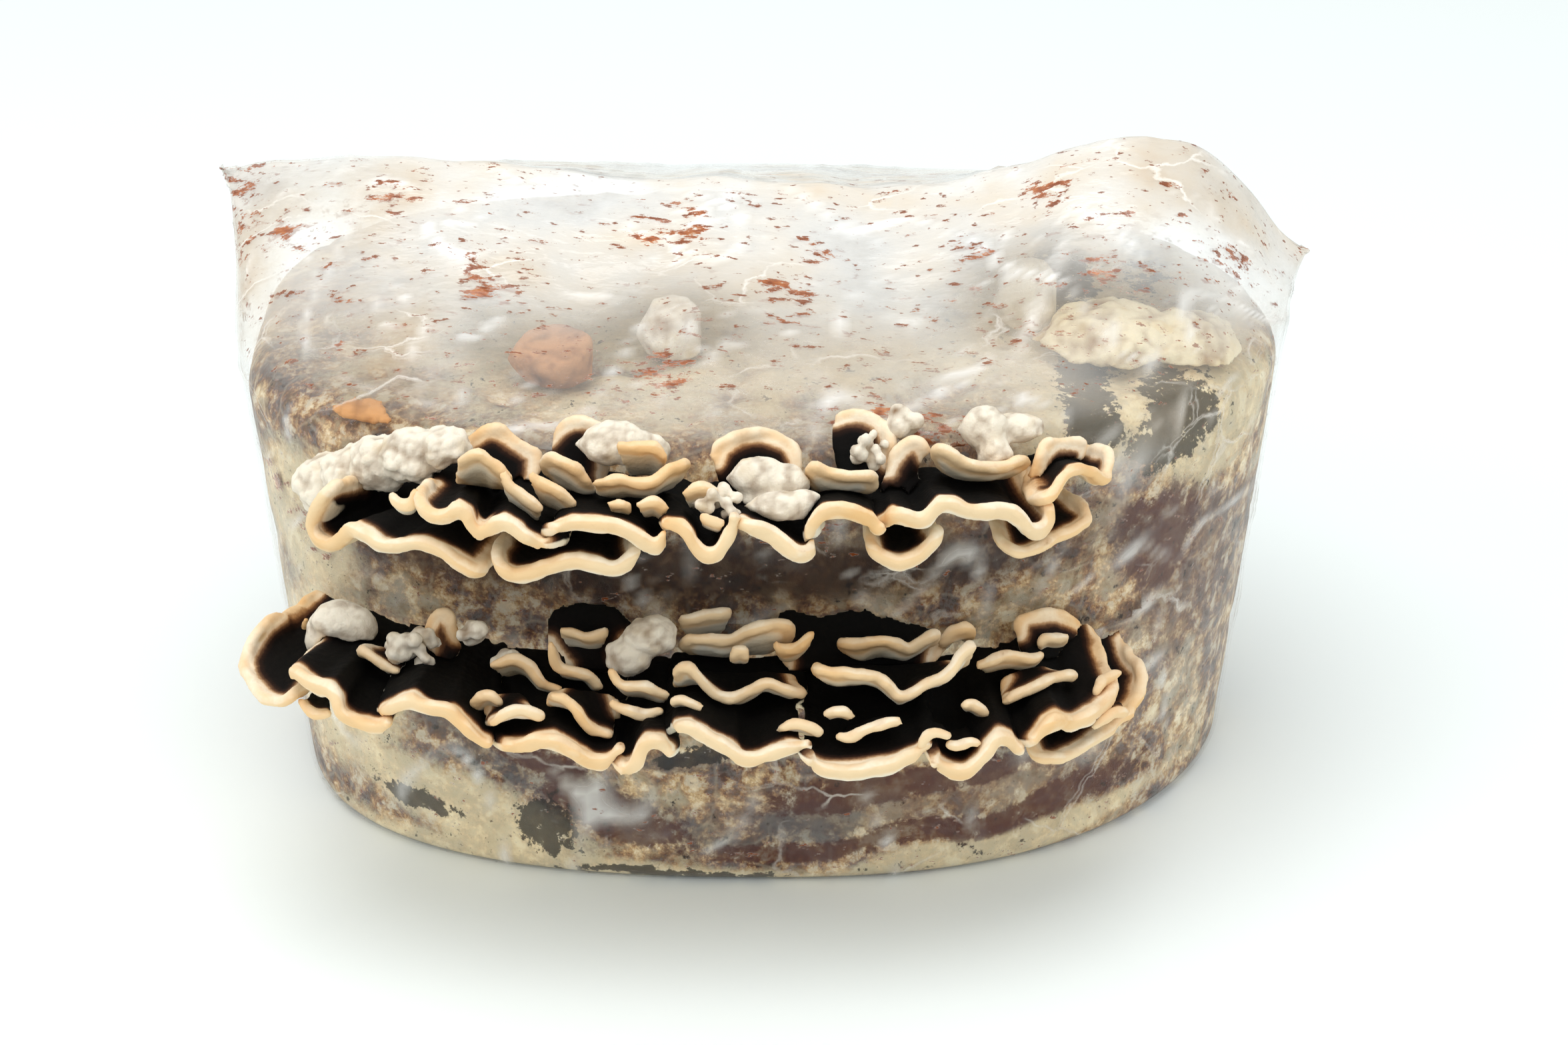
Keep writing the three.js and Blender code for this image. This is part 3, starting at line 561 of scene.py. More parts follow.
def patch_material():
    """Spun-bonded breather cloth: matt white, with a fine pressed grid."""
    made, tree, out = new_material("Spun-bonded breather cloth")
    coords = node(tree, "ShaderNodeTexCoord").outputs["Object"]
    weave = node(
        tree, "ShaderNodeTexVoronoi", {"Scale": 1 / (1.4 * MM), "Randomness": 0.25}, {"Vector": coords}
    )
    fibre = node(tree, "ShaderNodeTexNoise", {"Scale": 1 / (0.5 * MM), "Detail": 4.0}, {"Vector": coords})
    tone = stops(node(tree, "ShaderNodeValToRGB", {}, {0: weave}), [(0.1, "#D9D8D2"), (0.5, "#F1F0EC")])
    mixed = node(tree, "ShaderNodeMath", {"operation": "ADD"}, {0: weave, 1: fibre})
    bump = node(tree, "ShaderNodeBump", {"Strength": 0.5, "Distance": 0.3 * MM}, {"Height": mixed})
    skin = node(
        tree, "ShaderNodeBsdfPrincipled", {"Roughness": 0.9}, {"Base Color": tone.outputs[0], "Normal": bump}
    )
    tree.links.new(skin.outputs[0], out.inputs[0])
    return made


def floor_material():
    """Seamless paper: matt and nearly white, with a cool cast."""
    made, tree, out = new_material("Pale backdrop paper")
    skin = node(tree, "ShaderNodeBsdfPrincipled", {"Base Color": linear("#F3F8F7"), "Roughness": 0.9})
    tree.links.new(skin.outputs[0], out.inputs[0])
    return made


# ---- The film ----

# Rust-coloured droppings on the film: (x, y, z, radius) in mm.
RUST_SPOTS = [
    (-114, 22, 126, 8), (-110, 12, 118, 9), (-112, 16, 104, 7), (-101, 6, 122, 7), (-96, 0, 116, 8),
    (-90, -8, 114, 6), (-100, -18, 98, 6), (-76, -22, 110, 8), (-100, -20, 82, 8), (-92, -30, 74, 9),
    (-62, -30, 108, 7), (-20, -38, 108, 10), (-34, -40, 106, 6), (22, -50, 106, 8), (30, -54, 102, 12),
    (38, -57, 98, 12), (26, -58, 94, 10), (50, -30, 118, 7), (-56, -10, 118, 12), (-20, 8, 124, 12),
    (4, -12, 119, 10), (60, 14, 132, 8), (88, 30, 134, 8), (-46, -56, 90, 6), (98, 4, 118, 7),
    (8, -57, 88, 8), (-50, 46, 122, 12), (30, 50, 118, 14), (-90, 62, 104, 12), (85, 66, 100, 10),
    (44, 0, 124, 8), (-80, 12, 128, 8), (12, 4, 124, 7), (70, -10, 122, 6),
]

# Creases, given one by one: two ends in mm, width in mm and strength.
CREASES = [
    ((-90, 10, 126), (-40, -50, 104), 1.3, 0.8),
    ((-50, 14, 126), (-10, -40, 108), 1.2, 0.6),
    ((0, 6, 122), (30, -44, 108), 1.3, 0.7),
    ((70, 14, 136), (50, -36, 112), 1.4, 0.8),
    ((96, 14, 128), (80, -40, 100), 1.4, 0.7),
    ((-116, 20, 127), (-60, -52, 82), 1.6, 0.5),
    ((-60, -40, 104), (-20, -57, 90), 1.4, 0.9),
    ((-20, -57, 90), (2, -58, 99), 1.3, 0.7),
    ((8, -57, 92), (20, -56, 106), 1.4, 0.9),
    ((20, -56, 106), (40, -40, 112), 1.4, 0.6),
    ((48, -46, 112), (72, -40, 96), 1.5, 0.9),
    ((66, -48, 96), (88, -20, 122), 1.5, 0.7),
    ((90, -4, 132), (112, 20, 110), 1.6, 0.6),
    ((100, 8, 108), (98, 4, 20), 1.8, 0.5),
    ((114, 22, 108), (102, 24, 20), 1.8, 0.5),
    ((-112, -2, 100), (-106, 2, 30), 1.8, 0.4),
    ((-108, 5, 12), (-60, -45, 8), 2.0, 0.5),
    ((-60, -45, 8), (20, -56, 5), 2.0, 0.5),
    ((-84, -36, 30), (-20, -56, 12), 1.6, 0.5),
    ((70, -46, 66), (96, -14, 92), 1.5, 0.8),
    ((74, -44, 52), (100, -4, 76), 1.5, 0.8),
    ((78, -40, 38), (102, 4, 58), 1.5, 0.7),
    ((66, -48, 30), (98, -8, 44), 1.4, 0.5),
]


def near_line(places, start, end):
    """Distance of each place from a straight line between two points, in mm, and how far along."""
    a, b = np.array(start) * MM, np.array(end) * MM
    way = b - a
    share = np.clip(((places - a) @ way) / (way @ way), 0, 1)
    bend = np.sin(share * math.pi)[:, None] * np.array([0, 0, -0.002])
    return np.linalg.norm(places - (a + share[:, None] * way + bend), axis=1) / MM, share


def ridge_height(across):
    """Height of the top fold at a place across it, from -1 to 1."""
    knots = np.linspace(-1, 1, len(RIDGE_RISE))
    spread = np.linspace(-0.07, 0.07, 9)
    rise = sum(np.interp(np.clip(across + d, -1, 1), knots, RIDGE_RISE) for d in spread) / len(spread)
    return (SHOULDER + rise) * MM


def bag_place(around, up):
    """Where the bag's outside is. Around runs once round it, and up from under it to the fold."""
    front = around < 0.5
    angle = np.where(front, around, around - 0.5) * 2 * math.pi
    across = np.where(front, -np.cos(angle), np.cos(angle))
    side = np.where(front, -1.0, 1.0)
    power = 2.4 - 0.4 * across
    depth = BAG_HALF_DEPTH * np.maximum(0, 1 - np.abs(across) ** power) ** (1 / power) * side

    under = np.clip(up / 0.13, 0, 1)
    corner = np.clip((up - 0.13) / 0.04, 0, 1) * math.pi / 2
    wall = np.clip((up - 0.17) / 0.45, 0, 1)
    tent = np.clip((up - 0.62) / 0.38, 0, 1)
    high = np.where(up < 0.17, BASE_FOLD * (1 - np.cos(corner)), BASE_FOLD + wall * (SHOULDER - BASE_FOLD))
    inset = np.where(up < 0.17, BASE_FOLD * (1 - np.sin(corner)), 0)
    half = HALF_WIDTH / MM + 5 * (2 * high / SHOULDER - 1)
    x = across * (half - inset) * under
    y = depth * (1 - inset / BAG_HALF_DEPTH) * under
    fold_x = across * (BAG_HIGH.x / MM)
    x = x + (fold_x - x) * tent
    y = y + (RIDGE_BACK - y) * tent
    z = high * MM + (ridge_height(across) - SHOULDER * MM) * tent**0.85
    return np.stack([x * MM, y * MM + BAG_MIDDLE_Y, z], axis=1)


def wrapped(name, columns, rows, shape):
    """A closed skin, made from a grid that is wrapped round the bag's middle and welded."""
    bpy.ops.object.select_all(action="DESELECT")
    bpy.ops.mesh.primitive_grid_add(x_subdivisions=columns, y_subdivisions=rows, size=1)
    skin = bpy.context.object
    skin.name = name
    flat = vertex_places(skin)
    set_places(skin, shape(np.mod(flat[:, 0] + 0.5, 1.0), flat[:, 1] + 0.5))
    bpy.ops.object.mode_set(mode="EDIT")
    bpy.ops.mesh.select_all(action="SELECT")
    bpy.ops.mesh.remove_doubles(threshold=0.02 * MM)
    bpy.ops.mesh.normals_make_consistent(inside=False)
    bpy.ops.object.mode_set(mode="OBJECT")
    # A pinched corner can turn the whole skin inside out, so its volume settles it.
    bm = bmesh.new()
    bm.from_mesh(skin.data)
    if bm.calc_volume(signed=True) < 0:
        bmesh.ops.reverse_faces(bm, faces=bm.faces)
        bm.to_mesh(skin.data)
    bm.free()
    return skin


class TURKEY_OT_film(bpy.types.Operator):
    """Makes the film bag: a thin skin with soft folds, creases and two slits"""

    bl_idname = "turkey.film"
    bl_label = "Film bag"

    def execute(self, context):
        settings = context.scene.turkey_film
        skin = wrapped("bag_film", settings.columns, settings.rows, bag_place)
        places, normals = vertex_places(skin), vertex_normals(skin)
        high = places[:, 2]
        loose = step(0.101, 0.116, high)
        # Long folds run from the shoulder up to the ridge of the loose top.
        folds = waves(places, 34, 3.1, (1, 1.6, 0.9)) + 0.5 * waves(places, 15, 7.7, (0.8, 2.2, 1.4))
        tight = waves(places, 9, 5.3, (0.7, 1, 2.4))
        ridged = 1 - np.abs(waves(places, 22, 9.1, (1, 1.4, 1.6)))
        sharp = np.clip((ridged - 0.93) / 0.07, 0, 1) ** 1.5
        ridged_small = 1 - np.abs(waves(places, 11, 2.2, (0.8, 1.2, 2.0)))
        sharp_small = np.clip((ridged_small - 0.95) / 0.05, 0, 1) ** 1.5
        broken = np.clip(waves(places, 13, 12.5) * 1.6 + 0.35, 0, 1)
        # The crease mark is partly the whitening of creased film and partly painted highlight: the material
        # draws it as white lines.
        crease_whitening_and_glint = 0.5 * sharp * broken + 0.35 * sharp_small * broken * step(0.02, 0.08, high)
        lift = settings.crease * (0.6 * sharp * broken + 0.35 * sharp_small * broken)
        # Each listed crease raises the film and adds to the painted highlight mark.
        for start, end, width, strength in CREASES:
            away, share = near_line(places, start, end)
            wobble = 0.65 + 0.35 * np.sin(share * 19 + width * 40)
            line = np.exp(-((away / width) ** 2)) * np.sin(share * math.pi) ** 0.4 * wobble * strength
            crease_whitening_and_glint = np.maximum(crease_whitening_and_glint, line)
            lift = np.maximum(lift, settings.crease * line * 1.2)
        out = lift + loose * (settings.sag * (folds - 0.3) * 0.5)
        out += 0.00012 * np.maximum(tight, 0) * (1 - loose)
        floor = step(0.0, 0.006, high)
        places += normals * (out * floor)[:, None]
        places[:, 2] = np.maximum(places[:, 2], BAG_LOW.z)
        set_places(skin, places)

        left = 1 - step(-0.1, -0.06, places[:, 0])
        clear = step(0.6, 1.0, np.abs(places[:, 0]) / HALF_WIDTH) * step(0.118, 0.132, high)
        haze = settings.haze * loose * (1 - 0.35 * left) * (1 - 0.45 * clear)
        haze *= 1 - 0.6 * (1 - step(BAG_MIDDLE_Y - 0.05, BAG_MIDDLE_Y - 0.012, places[:, 1]))
        haze += 0.01 * step(0.09, 0.101, high)
        behind = step(BAG_MIDDLE_Y - 0.02, BAG_MIDDLE_Y + 0.02, places[:, 1])
        haze += 0.05 * behind * loose
        # It lies against the growths on the block's top, so there it is clear.
        for name in RESTING:
            corners = vertex_places(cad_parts[name])
            middle = (corners.min(axis=0) + corners.max(axis=0)) / 2 + np.array([0, -14, 7]) * MM
            away = np.linalg.norm(places - middle, axis=1) / MM
            haze *= 1 - 0.62 * (1 - step(8, 26, away))
        rust = np.zeros(len(places))
        for x, y, z, radius in RUST_SPOTS:
            away = np.linalg.norm(places - np.array([x, y, z]) * MM, axis=1) / MM
            rust = np.maximum(rust, 1 - step(0.2 * radius, 1.5 * radius, away))
        rust = np.maximum(rust, 0.3 * loose)
        mark(skin, "haze", haze)
        mark(skin, "crease_whitening_and_glint", crease_whitening_and_glint)
        mark(skin, "rust", rust)
        self.open_slits(skin)
        modify(skin, "SOLIDIFY", thickness=settings.wall, offset=-1, use_even_offset=False)
        finish_piece(skin, film_material(), [BAG])
        return {"FINISHED"}

    def open_slits(self, skin):
        """Takes out the film where the block fruits through it."""
        bm = bmesh.new()
        bm.from_mesh(skin.data)
        gone = []
        for face in bm.faces:
            x, y, z = face.calc_center_median()
            if y > BAG_MIDDLE_Y:
                continue
            for height, left, right in ((UPPER_SLIT, -72, 62), (LOWER_SLIT, -86, 72)):
                ends = (left / 100 * HALF_WIDTH, right / 100 * HALF_WIDTH)
                along = (2 * x - ends[0] - ends[1]) / (ends[1] - ends[0])
                if abs(along) < 1 and abs(z - height) < 0.0045 * math.sqrt(1 - along * along) + 0.0015:
                    gone.append(face)
        bmesh.ops.delete(bm, geom=gone, context="FACES")
        bm.to_mesh(skin.data)
        bm.free()


# ---- The block ----

# Stains and one patch of painted shade: (x, z, radius across, radius up, turn in degrees) in mm on the front,
# by kind.
STAINS_AND_SHADE = {
    "ivory": [(-64, 14, 34, 10, -16), (-92, 36, 18, 26, 0), (-30, 2, 60, 4, -3), (70, 100, 24, 10, 0),
              (94, 92, 16, 14, 0), (24, 33, 26, 5, 0), (-96, 74, 14, 20, 0), (50, 5, 46, 4, 6),
              (-60, 2, 40, 5, 0)],
    "brown": [(0, 76, 90, 8, 0), (50, 80, 44, 9, 0), (-50, 74, 34, 7, 0), (60, 14, 26, 8, 8),
              (88, 62, 14, 26, 0), (30, 20, 40, 9, 4), (-70, 36, 26, 4, -12)],
    "grey": [(0, 103, 90, 6, 0), (92, 50, 18, 34, 0), (12, 15, 34, 9, 0), (52, 22, 24, 8, 6),
             (70, 40, 20, 14, 0), (20, 78, 30, 5, 0), (-90, 60, 20, 16, 0)],
    "slate": [(-36, 20, 38, 6, -21), (-16, 30, 11, 3.5, -6), (10, 15, 14, 6, 0), (-64, 35, 20, 3, -16),
              (60, 30, 20, 3.5, 8)],
    "red": [(-32, 17, 19, 7, -22), (-50, 29, 14, 4, -20), (64, 14, 18, 5, 10), (20, 22, 24, 5, 6),
            (35, 10, 26, 4, 4), (82, 72, 12, 14, 0), (42, 26, 22, 4, 6), (4, 8, 22, 3, 0)],
    "ink": [(-46, 13, 8, 7, -10), (84, 94, 11, 8, 0), (66, 99, 7, 6, 0), (-74, 13, 9, 3, -12),
            (-14, 31, 9, 3, 0), (-20, 2, 26, 2, -2)],
    # Painted shade, not a stain: the band between the tiers that the material darkens.
    "dim": [(-8, 75, 82, 9, 0)],
}


def block_place(around, up):
    """Where the block's outside is: just inside the film, with a crowned top."""
    gap = 0.9
    wall = np.clip(up / 0.68, 0, 1)
    top = np.clip((up - 0.68) / 0.32, 0, 1)
    place = bag_place(around, np.minimum(wall * 0.61, 0.61))
    shrink = np.array([1 - gap / (HALF_WIDTH / MM), 1 - gap / BAG_HALF_DEPTH])
    bend = np.clip((wall - 0.914) / 0.086, 0, 1)
    edge = 1 - 0.08 * (1 - np.sqrt(1 - bend**2))
    flat = (place[:, :2] - [0, BAG_MIDDLE_Y]) * shrink * (edge * (1 - top))[:, None]
    crown = 2.2 * MM * (1 - (1 - top) ** 2)
    high = np.maximum(place[:, 2], gap * MM * 0.6) - 1.2 * MM * np.clip((wall - 0.9) / 0.1, 0, 1) + crown
    return np.column_stack([flat[:, 0], flat[:, 1] + BAG_MIDDLE_Y, high])


class TURKEY_OT_block(bpy.types.Operator):
    """Makes the block's grown skin: hollows, lumps, its stains and the painted shade between the tiers"""

    bl_idname = "turkey.block"
    bl_label = "Mycelium block"

    def execute(self, context):
        settings = context.scene.turkey_block
        block = wrapped("grown_block", settings.columns, settings.rows, block_place)
        places, normals = vertex_places(block), vertex_normals(block)
        pits = np.clip(waves(places, 7, 1.7) * 1.4, 0, 1)
        dips = np.clip(waves(places, 16, 4.4) + 0.1, 0, 1)
        rise = step(0.094, 0.104, places[:, 2])
        lumps = (0.6 - cells(places, 11, 3.3)) * 0.004 * rise
        floor = step(0.0, 0.008, places[:, 2])
        inward = settings.hollows * (0.45 * pits + 0.55 * dips) * floor
        places += normals * (np.minimum(lumps, 0.0) - inward)[:, None]
        set_places(block, places)
        drift = np.stack([waves(places, 18, s) for s in (11.0, 23.0)], axis=1)
        facing = 1 - step(BAG_MIDDLE_Y - 0.03, BAG_MIDDLE_Y + 0.01, places[:, 1])
        # Each kind is marked for the material: the stains, and the painted shade between the tiers.
        for kind, spots in STAINS_AND_SHADE.items():
            mask = np.zeros(len(places))
            for x, z, wide, tall, turn in spots:
                c, s = math.cos(math.radians(turn)), math.sin(math.radians(turn))
                dx = places[:, 0] / MM - x + 3 * drift[:, 0]
                dz = places[:, 2] / MM - z + 3 * drift[:, 1]
                u, v = (c * dx + s * dz) / wide, (c * dz - s * dx) / tall
                mask = np.maximum(mask, 1 - step(0.35, 1.35, np.sqrt(u * u + v * v)))
            if kind == "ivory":
                mask = np.maximum(mask, step(0.1, 0.104, places[:, 2]))
                facing = np.maximum(facing, step(0.098, 0.102, places[:, 2]))
            mark(block, kind, mask * facing)
        finish_piece(block, block_material(), [BLOCK])
        return {"FINISHED"}


# ---- Caps ----


# Caps at the back of a tier stand up, with their velvet towards the front.
UPRIGHT = (
    "upper_arch_a", "upper_arch_b", "upper_fan", "upper_cup_back", "upper_cup_wing", "upper_right_back",
    "lower_loop", "lower_back_arch", "lower_back_rim", "lower_fan",
)


# Curled caps, and the way that the velvet side of each looks.
CURLED = {"upper_shelf_west": (0.7, 0.2, 0.9), "lower_left_end": (-0.3, 0.1, 1)}


def tree_of(obj):
    """A search tree over one object's faces."""
    return BVHTree.FromPolygons([v.co for v in obj.data.vertices], [f.vertices for f in obj.data.polygons])


def all_skins():
    """One search tree over every CAD node but the film, and the node that each face is on."""
    corners, faces, owner = [], [], []
    for name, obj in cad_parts.items():
        if name == BAG:
            continue
        start = len(corners)
        corners += [v.co.copy() for v in obj.data.vertices]
        for face in obj.data.polygons:
            faces.append([start + v for v in face.vertices])
            owner.append(name)
    return BVHTree.FromPolygons(corners, faces), owner


def rim_edges(bm, name, skins, bag):
    """The knife edges of a cap that stand free, and the sides where shelf meets shelf."""
    tree, owner = skins
    free, joins = [], []
    for edge in bm.edges:
        if len(edge.link_faces) != 2 or edge.calc_face_angle(0) < math.radians(105):
            continue
        middle = (edge.verts[0].co + edge.verts[1].co) / 2
        if any(owner[hit[2]] != name for hit in tree.find_nearest_range(middle, 0.6 * MM)):
            continue
        way = (edge.verts[0].co - edge.verts[1].co).normalized()
        near = {owner[hit[2]] for hit in tree.find_nearest_range(middle, 6 * MM)} - {name}
        if "shelf" in name and abs(way.y) > 0.6 and any("shelf" in n for n in near):
            joins.append(edge)
        elif bag.find_nearest(middle)[3] > 3 * MM:
            free.append(edge)
    return free, joins


def chains(edges):
    """Joins edges end to end into lists of vertices."""
    links = {}
    for edge in edges:
        a, b = edge.verts
        links.setdefault(a, []).append(b)
        links.setdefault(b, []).append(a)
    used = set()
    made = []
    for start in sorted(links, key=lambda v: (len(links[v]) == 2, v.index)):
        for following in links[start]:
            if frozenset((start, following)) in used:
                continue
            line = [start, following]
            used.add(frozenset((start, following)))
            while len(links[line[-1]]) == 2:
                ahead = [v for v in links[line[-1]] if frozenset((line[-1], v)) not in used]
                if not ahead:
                    break
                used.add(frozenset((line[-1], ahead[0])))
                line.append(ahead[0])
            made.append(line)
    return made


def smooth_line(points, spacing):
    """The same line through evenly spaced points on a soft curve."""
    pts = np.array(points)
    if len(pts) > 2:
        inner = pts.copy()
        inner[1:-1] = 0.5 * pts[1:-1] + 0.25 * (pts[:-2] + pts[2:])
        pts = 0.35 * pts + 0.65 * inner
    padded = np.vstack([2 * pts[0] - pts[1], pts, 2 * pts[-1] - pts[-2]])
    line = []
    for i in range(1, len(padded) - 2):
        p0, p1, p2, p3 = padded[i - 1 : i + 3]
        count = max(1, int(round(np.linalg.norm(p2 - p1) / spacing)))
        for t in np.arange(count) / count:
            line.append(
                0.5 * (2 * p1 + (p2 - p0) * t + (2 * p0 - 5 * p1 + 4 * p2 - p3) * t * t
                       + (3 * p1 - p0 - 3 * p2 + p3) * t ** 3)
            )
    line.append(padded[-2])
    return np.array(line)


def wander(place, size_mm):
    """A soft push in three directions that depends only on the place."""
    spot = Vector(place) / (size_mm * MM)
    return Vector([noise.noise(spot + Vector((0, 0, shift))) for shift in (0, 17.3, 41.7)])


def lip_bead(name, line, radius):
    """A round bead along a line, uneven as a grown rim is."""
    curve = bpy.data.curves.new(name, "CURVE")
    curve.dimensions = "3D"
    curve.bevel_depth = 1.0
    curve.bevel_resolution = 2
    curve.use_fill_caps = True
    spline = curve.splines.new("POLY")
    spline.points.add(len(line) - 1)
    for i, place in enumerate(line):
        point = spline.points[i]
        ruffle = 0.75 * wander(place, 5) + 0.3 * wander(place, 2)
        point.co = (*(Vector(place) + ruffle * MM), 1)
        swell = 1 + 0.2 * noise.noise(Vector(place) / (5 * MM)) + 0.12 * noise.noise(Vector(place) / (2 * MM))
        end = min(i, len(line) - 1 - i)
        point.radius = radius * swell * (0.6 + 0.4 * min(1, end / 4))
    bead = bpy.data.objects.new(name, curve)
    bpy.context.scene.collection.objects.link(bead)
    pick_only(bead)
    bpy.ops.object.convert(target="MESH")
    return bpy.context.view_layer.objects.active


def softened(obj, values, rounds):
    """Averages a number over each vertex and its neighbours."""
    ends = np.empty(2 * len(obj.data.edges), np.int32)
    obj.data.edges.foreach_get("vertices", ends)
    a, b = ends[::2], ends[1::2]
    values = np.asarray(values, float)
    for _ in range(rounds):
        total, count = values.copy(), np.ones(len(values))
        np.add.at(total, a, values[b])
        np.add.at(total, b, values[a])
        np.add.at(count, a, 1)
        np.add.at(count, b, 1)
        values = total / count
    return values


def grown_cap(body, lines, seams, top, settings):
    """Rounds a cap's rim to a lip along the lines, closes its seams and marks its zones."""
    beads = [lip_bead(f"{body.name}_lip{i}", line, settings.lip) for i, line in enumerate(lines)]
    beads += [lip_bead(f"{body.name}_seam{i}", line, settings.lip * 1.25) for i, line in enumerate(seams)]
    if "shelf" in body.name or "lobe" in body.name:
        drop = np.array([0, 0.8, -1.6]) * MM
        for i, line in enumerate(lines):
            beads.append(lip_bead(f"{body.name}_skirt{i}", line + drop, settings.skirt))
    join(body, beads)
    remesh(body, settings.grid, settings.softening)
    places = vertex_places(body)
    crinkle = 0.16 * waves(places, 2.6, 5.5) + 0.07 * waves(places, 1.3, 8.5)
    places += vertex_normals(body) * crinkle[:, None] * MM
    set_places(body, places)
    rim = kdtree.KDTree(sum(len(line) for line in lines) + 1)
    for index, place in enumerate(place for line in lines for place in line):
        rim.insert(place, index)
    rim.insert((0, 0, -1), 0)
    rim.balance()
    mark(body, "rim_gap", [rim.find(place)[2] / MM for place in places])
    facing = softened(body, vertex_normals(body) @ np.array(Vector(top).normalized()), 3)
    mark(body, "upper", softened(body, step(-0.12, 0.12, facing), 2))
    return body


class TURKEY_OT_caps(bpy.types.Operator):
    """Makes the bracket caps: each gets a rounded cream lip, velvet and pores"""

    bl_idname = "turkey.caps"
    bl_label = "Caps"

    def execute(self, context):
        settings = context.scene.turkey_caps
        skins, bag = all_skins(), tree_of(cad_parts[BAG])
        material = cap_material()
        for name in CAPS:
            body = copy_of(name, "grown_" + name)
            lines, seams = self.inset_rims(body, name, skins, bag, settings.lip)
            top = (0, -1, 0.5) if name in UPRIGHT else (0, 0.6, 1)
            grown_cap(body, lines, seams, CURLED.get(name, top), settings)
            finish_piece(body, material, [name])
        small_caps(material, settings)
        return {"FINISHED"}

    def inset_rims(self, body, name, skins, bag, radius):
        """The lines that a cap's lip follows, just inside its knife edge, and its seams."""
        bm = bmesh.new()
        bm.from_mesh(body.data)
        bm.verts.ensure_lookup_table()
        bm.normal_update()
        found = []
        for edges, inset in zip(rim_edges(bm, name, skins, bag), (0.62, -0.6)):
            lines = []
            for chain in chains(edges):
                inner = []
                for vertex in chain:
                    middles = [f.calc_center_median() - vertex.co for f in vertex.link_faces]
                    way = sum((m.normalized() for m in middles), Vector())
                    inner.append(vertex.co + way.normalized() * radius * inset)
                if sum((b - a).length for a, b in zip(inner, inner[1:])) > 2.5 * MM:
                    lines.append(smooth_line(inner, 0.9 * MM))
            found.append(lines)
        bm.free()
        return found


# The small caps that are too fine for a node of their own. Each rim is a list of
# (percent across, mm out, mm up); the foot lies that many mm back and down from it.
SMALL_CAPS = {
    "hook": (UPPER_SLIT, [(-66, 21, 7), (-65, 22, 5), (-62, 23, 5), (-61, 23, 9)], 6, 5),
    "fold_second": (UPPER_SLIT, [(-26, 17, 15), (-22, 16, 14), (-19, 16, 15), (-17, 16, 12)], 7, 9),
    "ribbon_e": (UPPER_SLIT, [(-41, 23, 12), (-40, 23, 10), (-36, 23, 9), (-33, 23, 5)], 6, 7),
    "ribbon_f": (UPPER_SLIT, [(-46, 25, 13), (-44, 25, 10), (-40, 25, 6), (-39, 25, 5)], 6, 7),
    "petal_g": (UPPER_SLIT, [(-27, 27, 7), (-25, 27, 8), (-23, 26, 6)], 6, 4),
    "petal_h": (UPPER_SLIT, [(-22, 27, 7), (-19, 27, 9), (-17, 27, 6)], 6, 5),
    "petal_i": (UPPER_SLIT, [(-14, 24, 8), (-11, 24, 10), (-8, 24, 8)], 6, 6),
    "petal_k": (UPPER_SLIT, [(-11, 29, 6), (-10, 29, 5), (-7, 29, 4)], 6, 4),
    "low_small": (LOWER_SLIT, [(-85, 18, -1), (-83, 21, -3), (-79, 23, -1)], 9, 2),
    "back_ribbon": (LOWER_SLIT, [(-87, -12, 1), (-89, -15, -6), (-86, -11, -8)], 4, 0),
    "small_cap": (LOWER_SLIT, [(-50, 16, 6), (-46, 16, 8), (-43, 16, 6), (-41, 17, 2), (-37, 17, 1)], 8, 6),
    "ribbon_four": (LOWER_SLIT, [(-39, 15, 11), (-38, 15, 4), (-36, 15, 4), (-32, 15, 4), (-30, 15, 0)], 7, 5),
    "inner_rib": (LOWER_SLIT, [(-38, 7, 9), (-34, 7, 9), (-33, 7, 7), (-29, 7, 8)], 5, 6),
    "ribbon_five": (LOWER_SLIT, [(-28, 23, 9), (-26, 23, 5), (-22, 23, 6), (-17, 23, 3)], 7, 6),
    "second_arch": (LOWER_SLIT, [(28, 33, -3), (29, 33, -1), (31, 33, 1), (34, 32, -1)], 9, 3),
    "ribbon_six": (LOWER_SLIT, [(33, 31, -3), (34, 31, -5), (38, 30, -3), (39, 30, -4)], 9, 2),
    "right_small": (LOWER_SLIT, [(61, 18, -7), (65, 13, -6), (68, 8, -9)], 7, 2),
    "right_inner": (LOWER_SLIT, [(61, 13, -3), (62, 11, -1), (66, 5, -2)], 6, 3),
    "low_ribs": (LOWER_SLIT, [(-16, 5, 10), (-10, 5, 11), (-6, 5, 12)], 4, 6),
    "oval": (LOWER_SLIT, [(-6, 17, 8), (-6, 17, 10), (-3, 17, 10), (-3, 17, 8)], 5, 4),
    "hook_two": (LOWER_SLIT, [(2, 13, 9), (3, 13, 7), (6, 13, 8), (9, 13, 12)], 5, 5),
    "petal_two": (LOWER_SLIT, [(-17, 29, 5), (-15, 29, 6), (-11, 29, 4)], 7, 4),
    "sliver": (LOWER_SLIT, [(-28, 27, 4), (-24, 27, 2), (-23, 27, 0), (-18, 27, 2)], 7, 3),
    "ring_lobe": (LOWER_SLIT, [(33, 4, 4), (34, 4, 7), (38, 3, 8), (39, 2, 5)], 5, 4),
    "petal_three": (LOWER_SLIT, [(11, 29, 2), (12, 29, 3), (15, 29, 3), (16, 28, 1)], 6, 3),
    "petal_four": (LOWER_SLIT, [(13, 32, -1), (15, 32, -2), (18, 31, 0), (25, 31, 2)], 8, 3),
    "right_cap": (LOWER_SLIT, [(36, 24, 1), (37, 23, 2), (41, 22, -2)], 7, 4),
    "right_rib": (LOWER_SLIT, [(39, 12, 4), (45, 10, 5), (50, 8, 2), (52, 6, 3)], 6, 5),
    "right_cap_two": (LOWER_SLIT, [(51, 3, 3), (52, 2, 5), (54, 1, 3), (57, -1, 3)], 5, 4),
    "round_cap": (LOWER_SLIT, [(-53, 27, 3), (-51, 28, 6), (-49, 28, 7), (-47, 28, 4)], 6, 5),
}


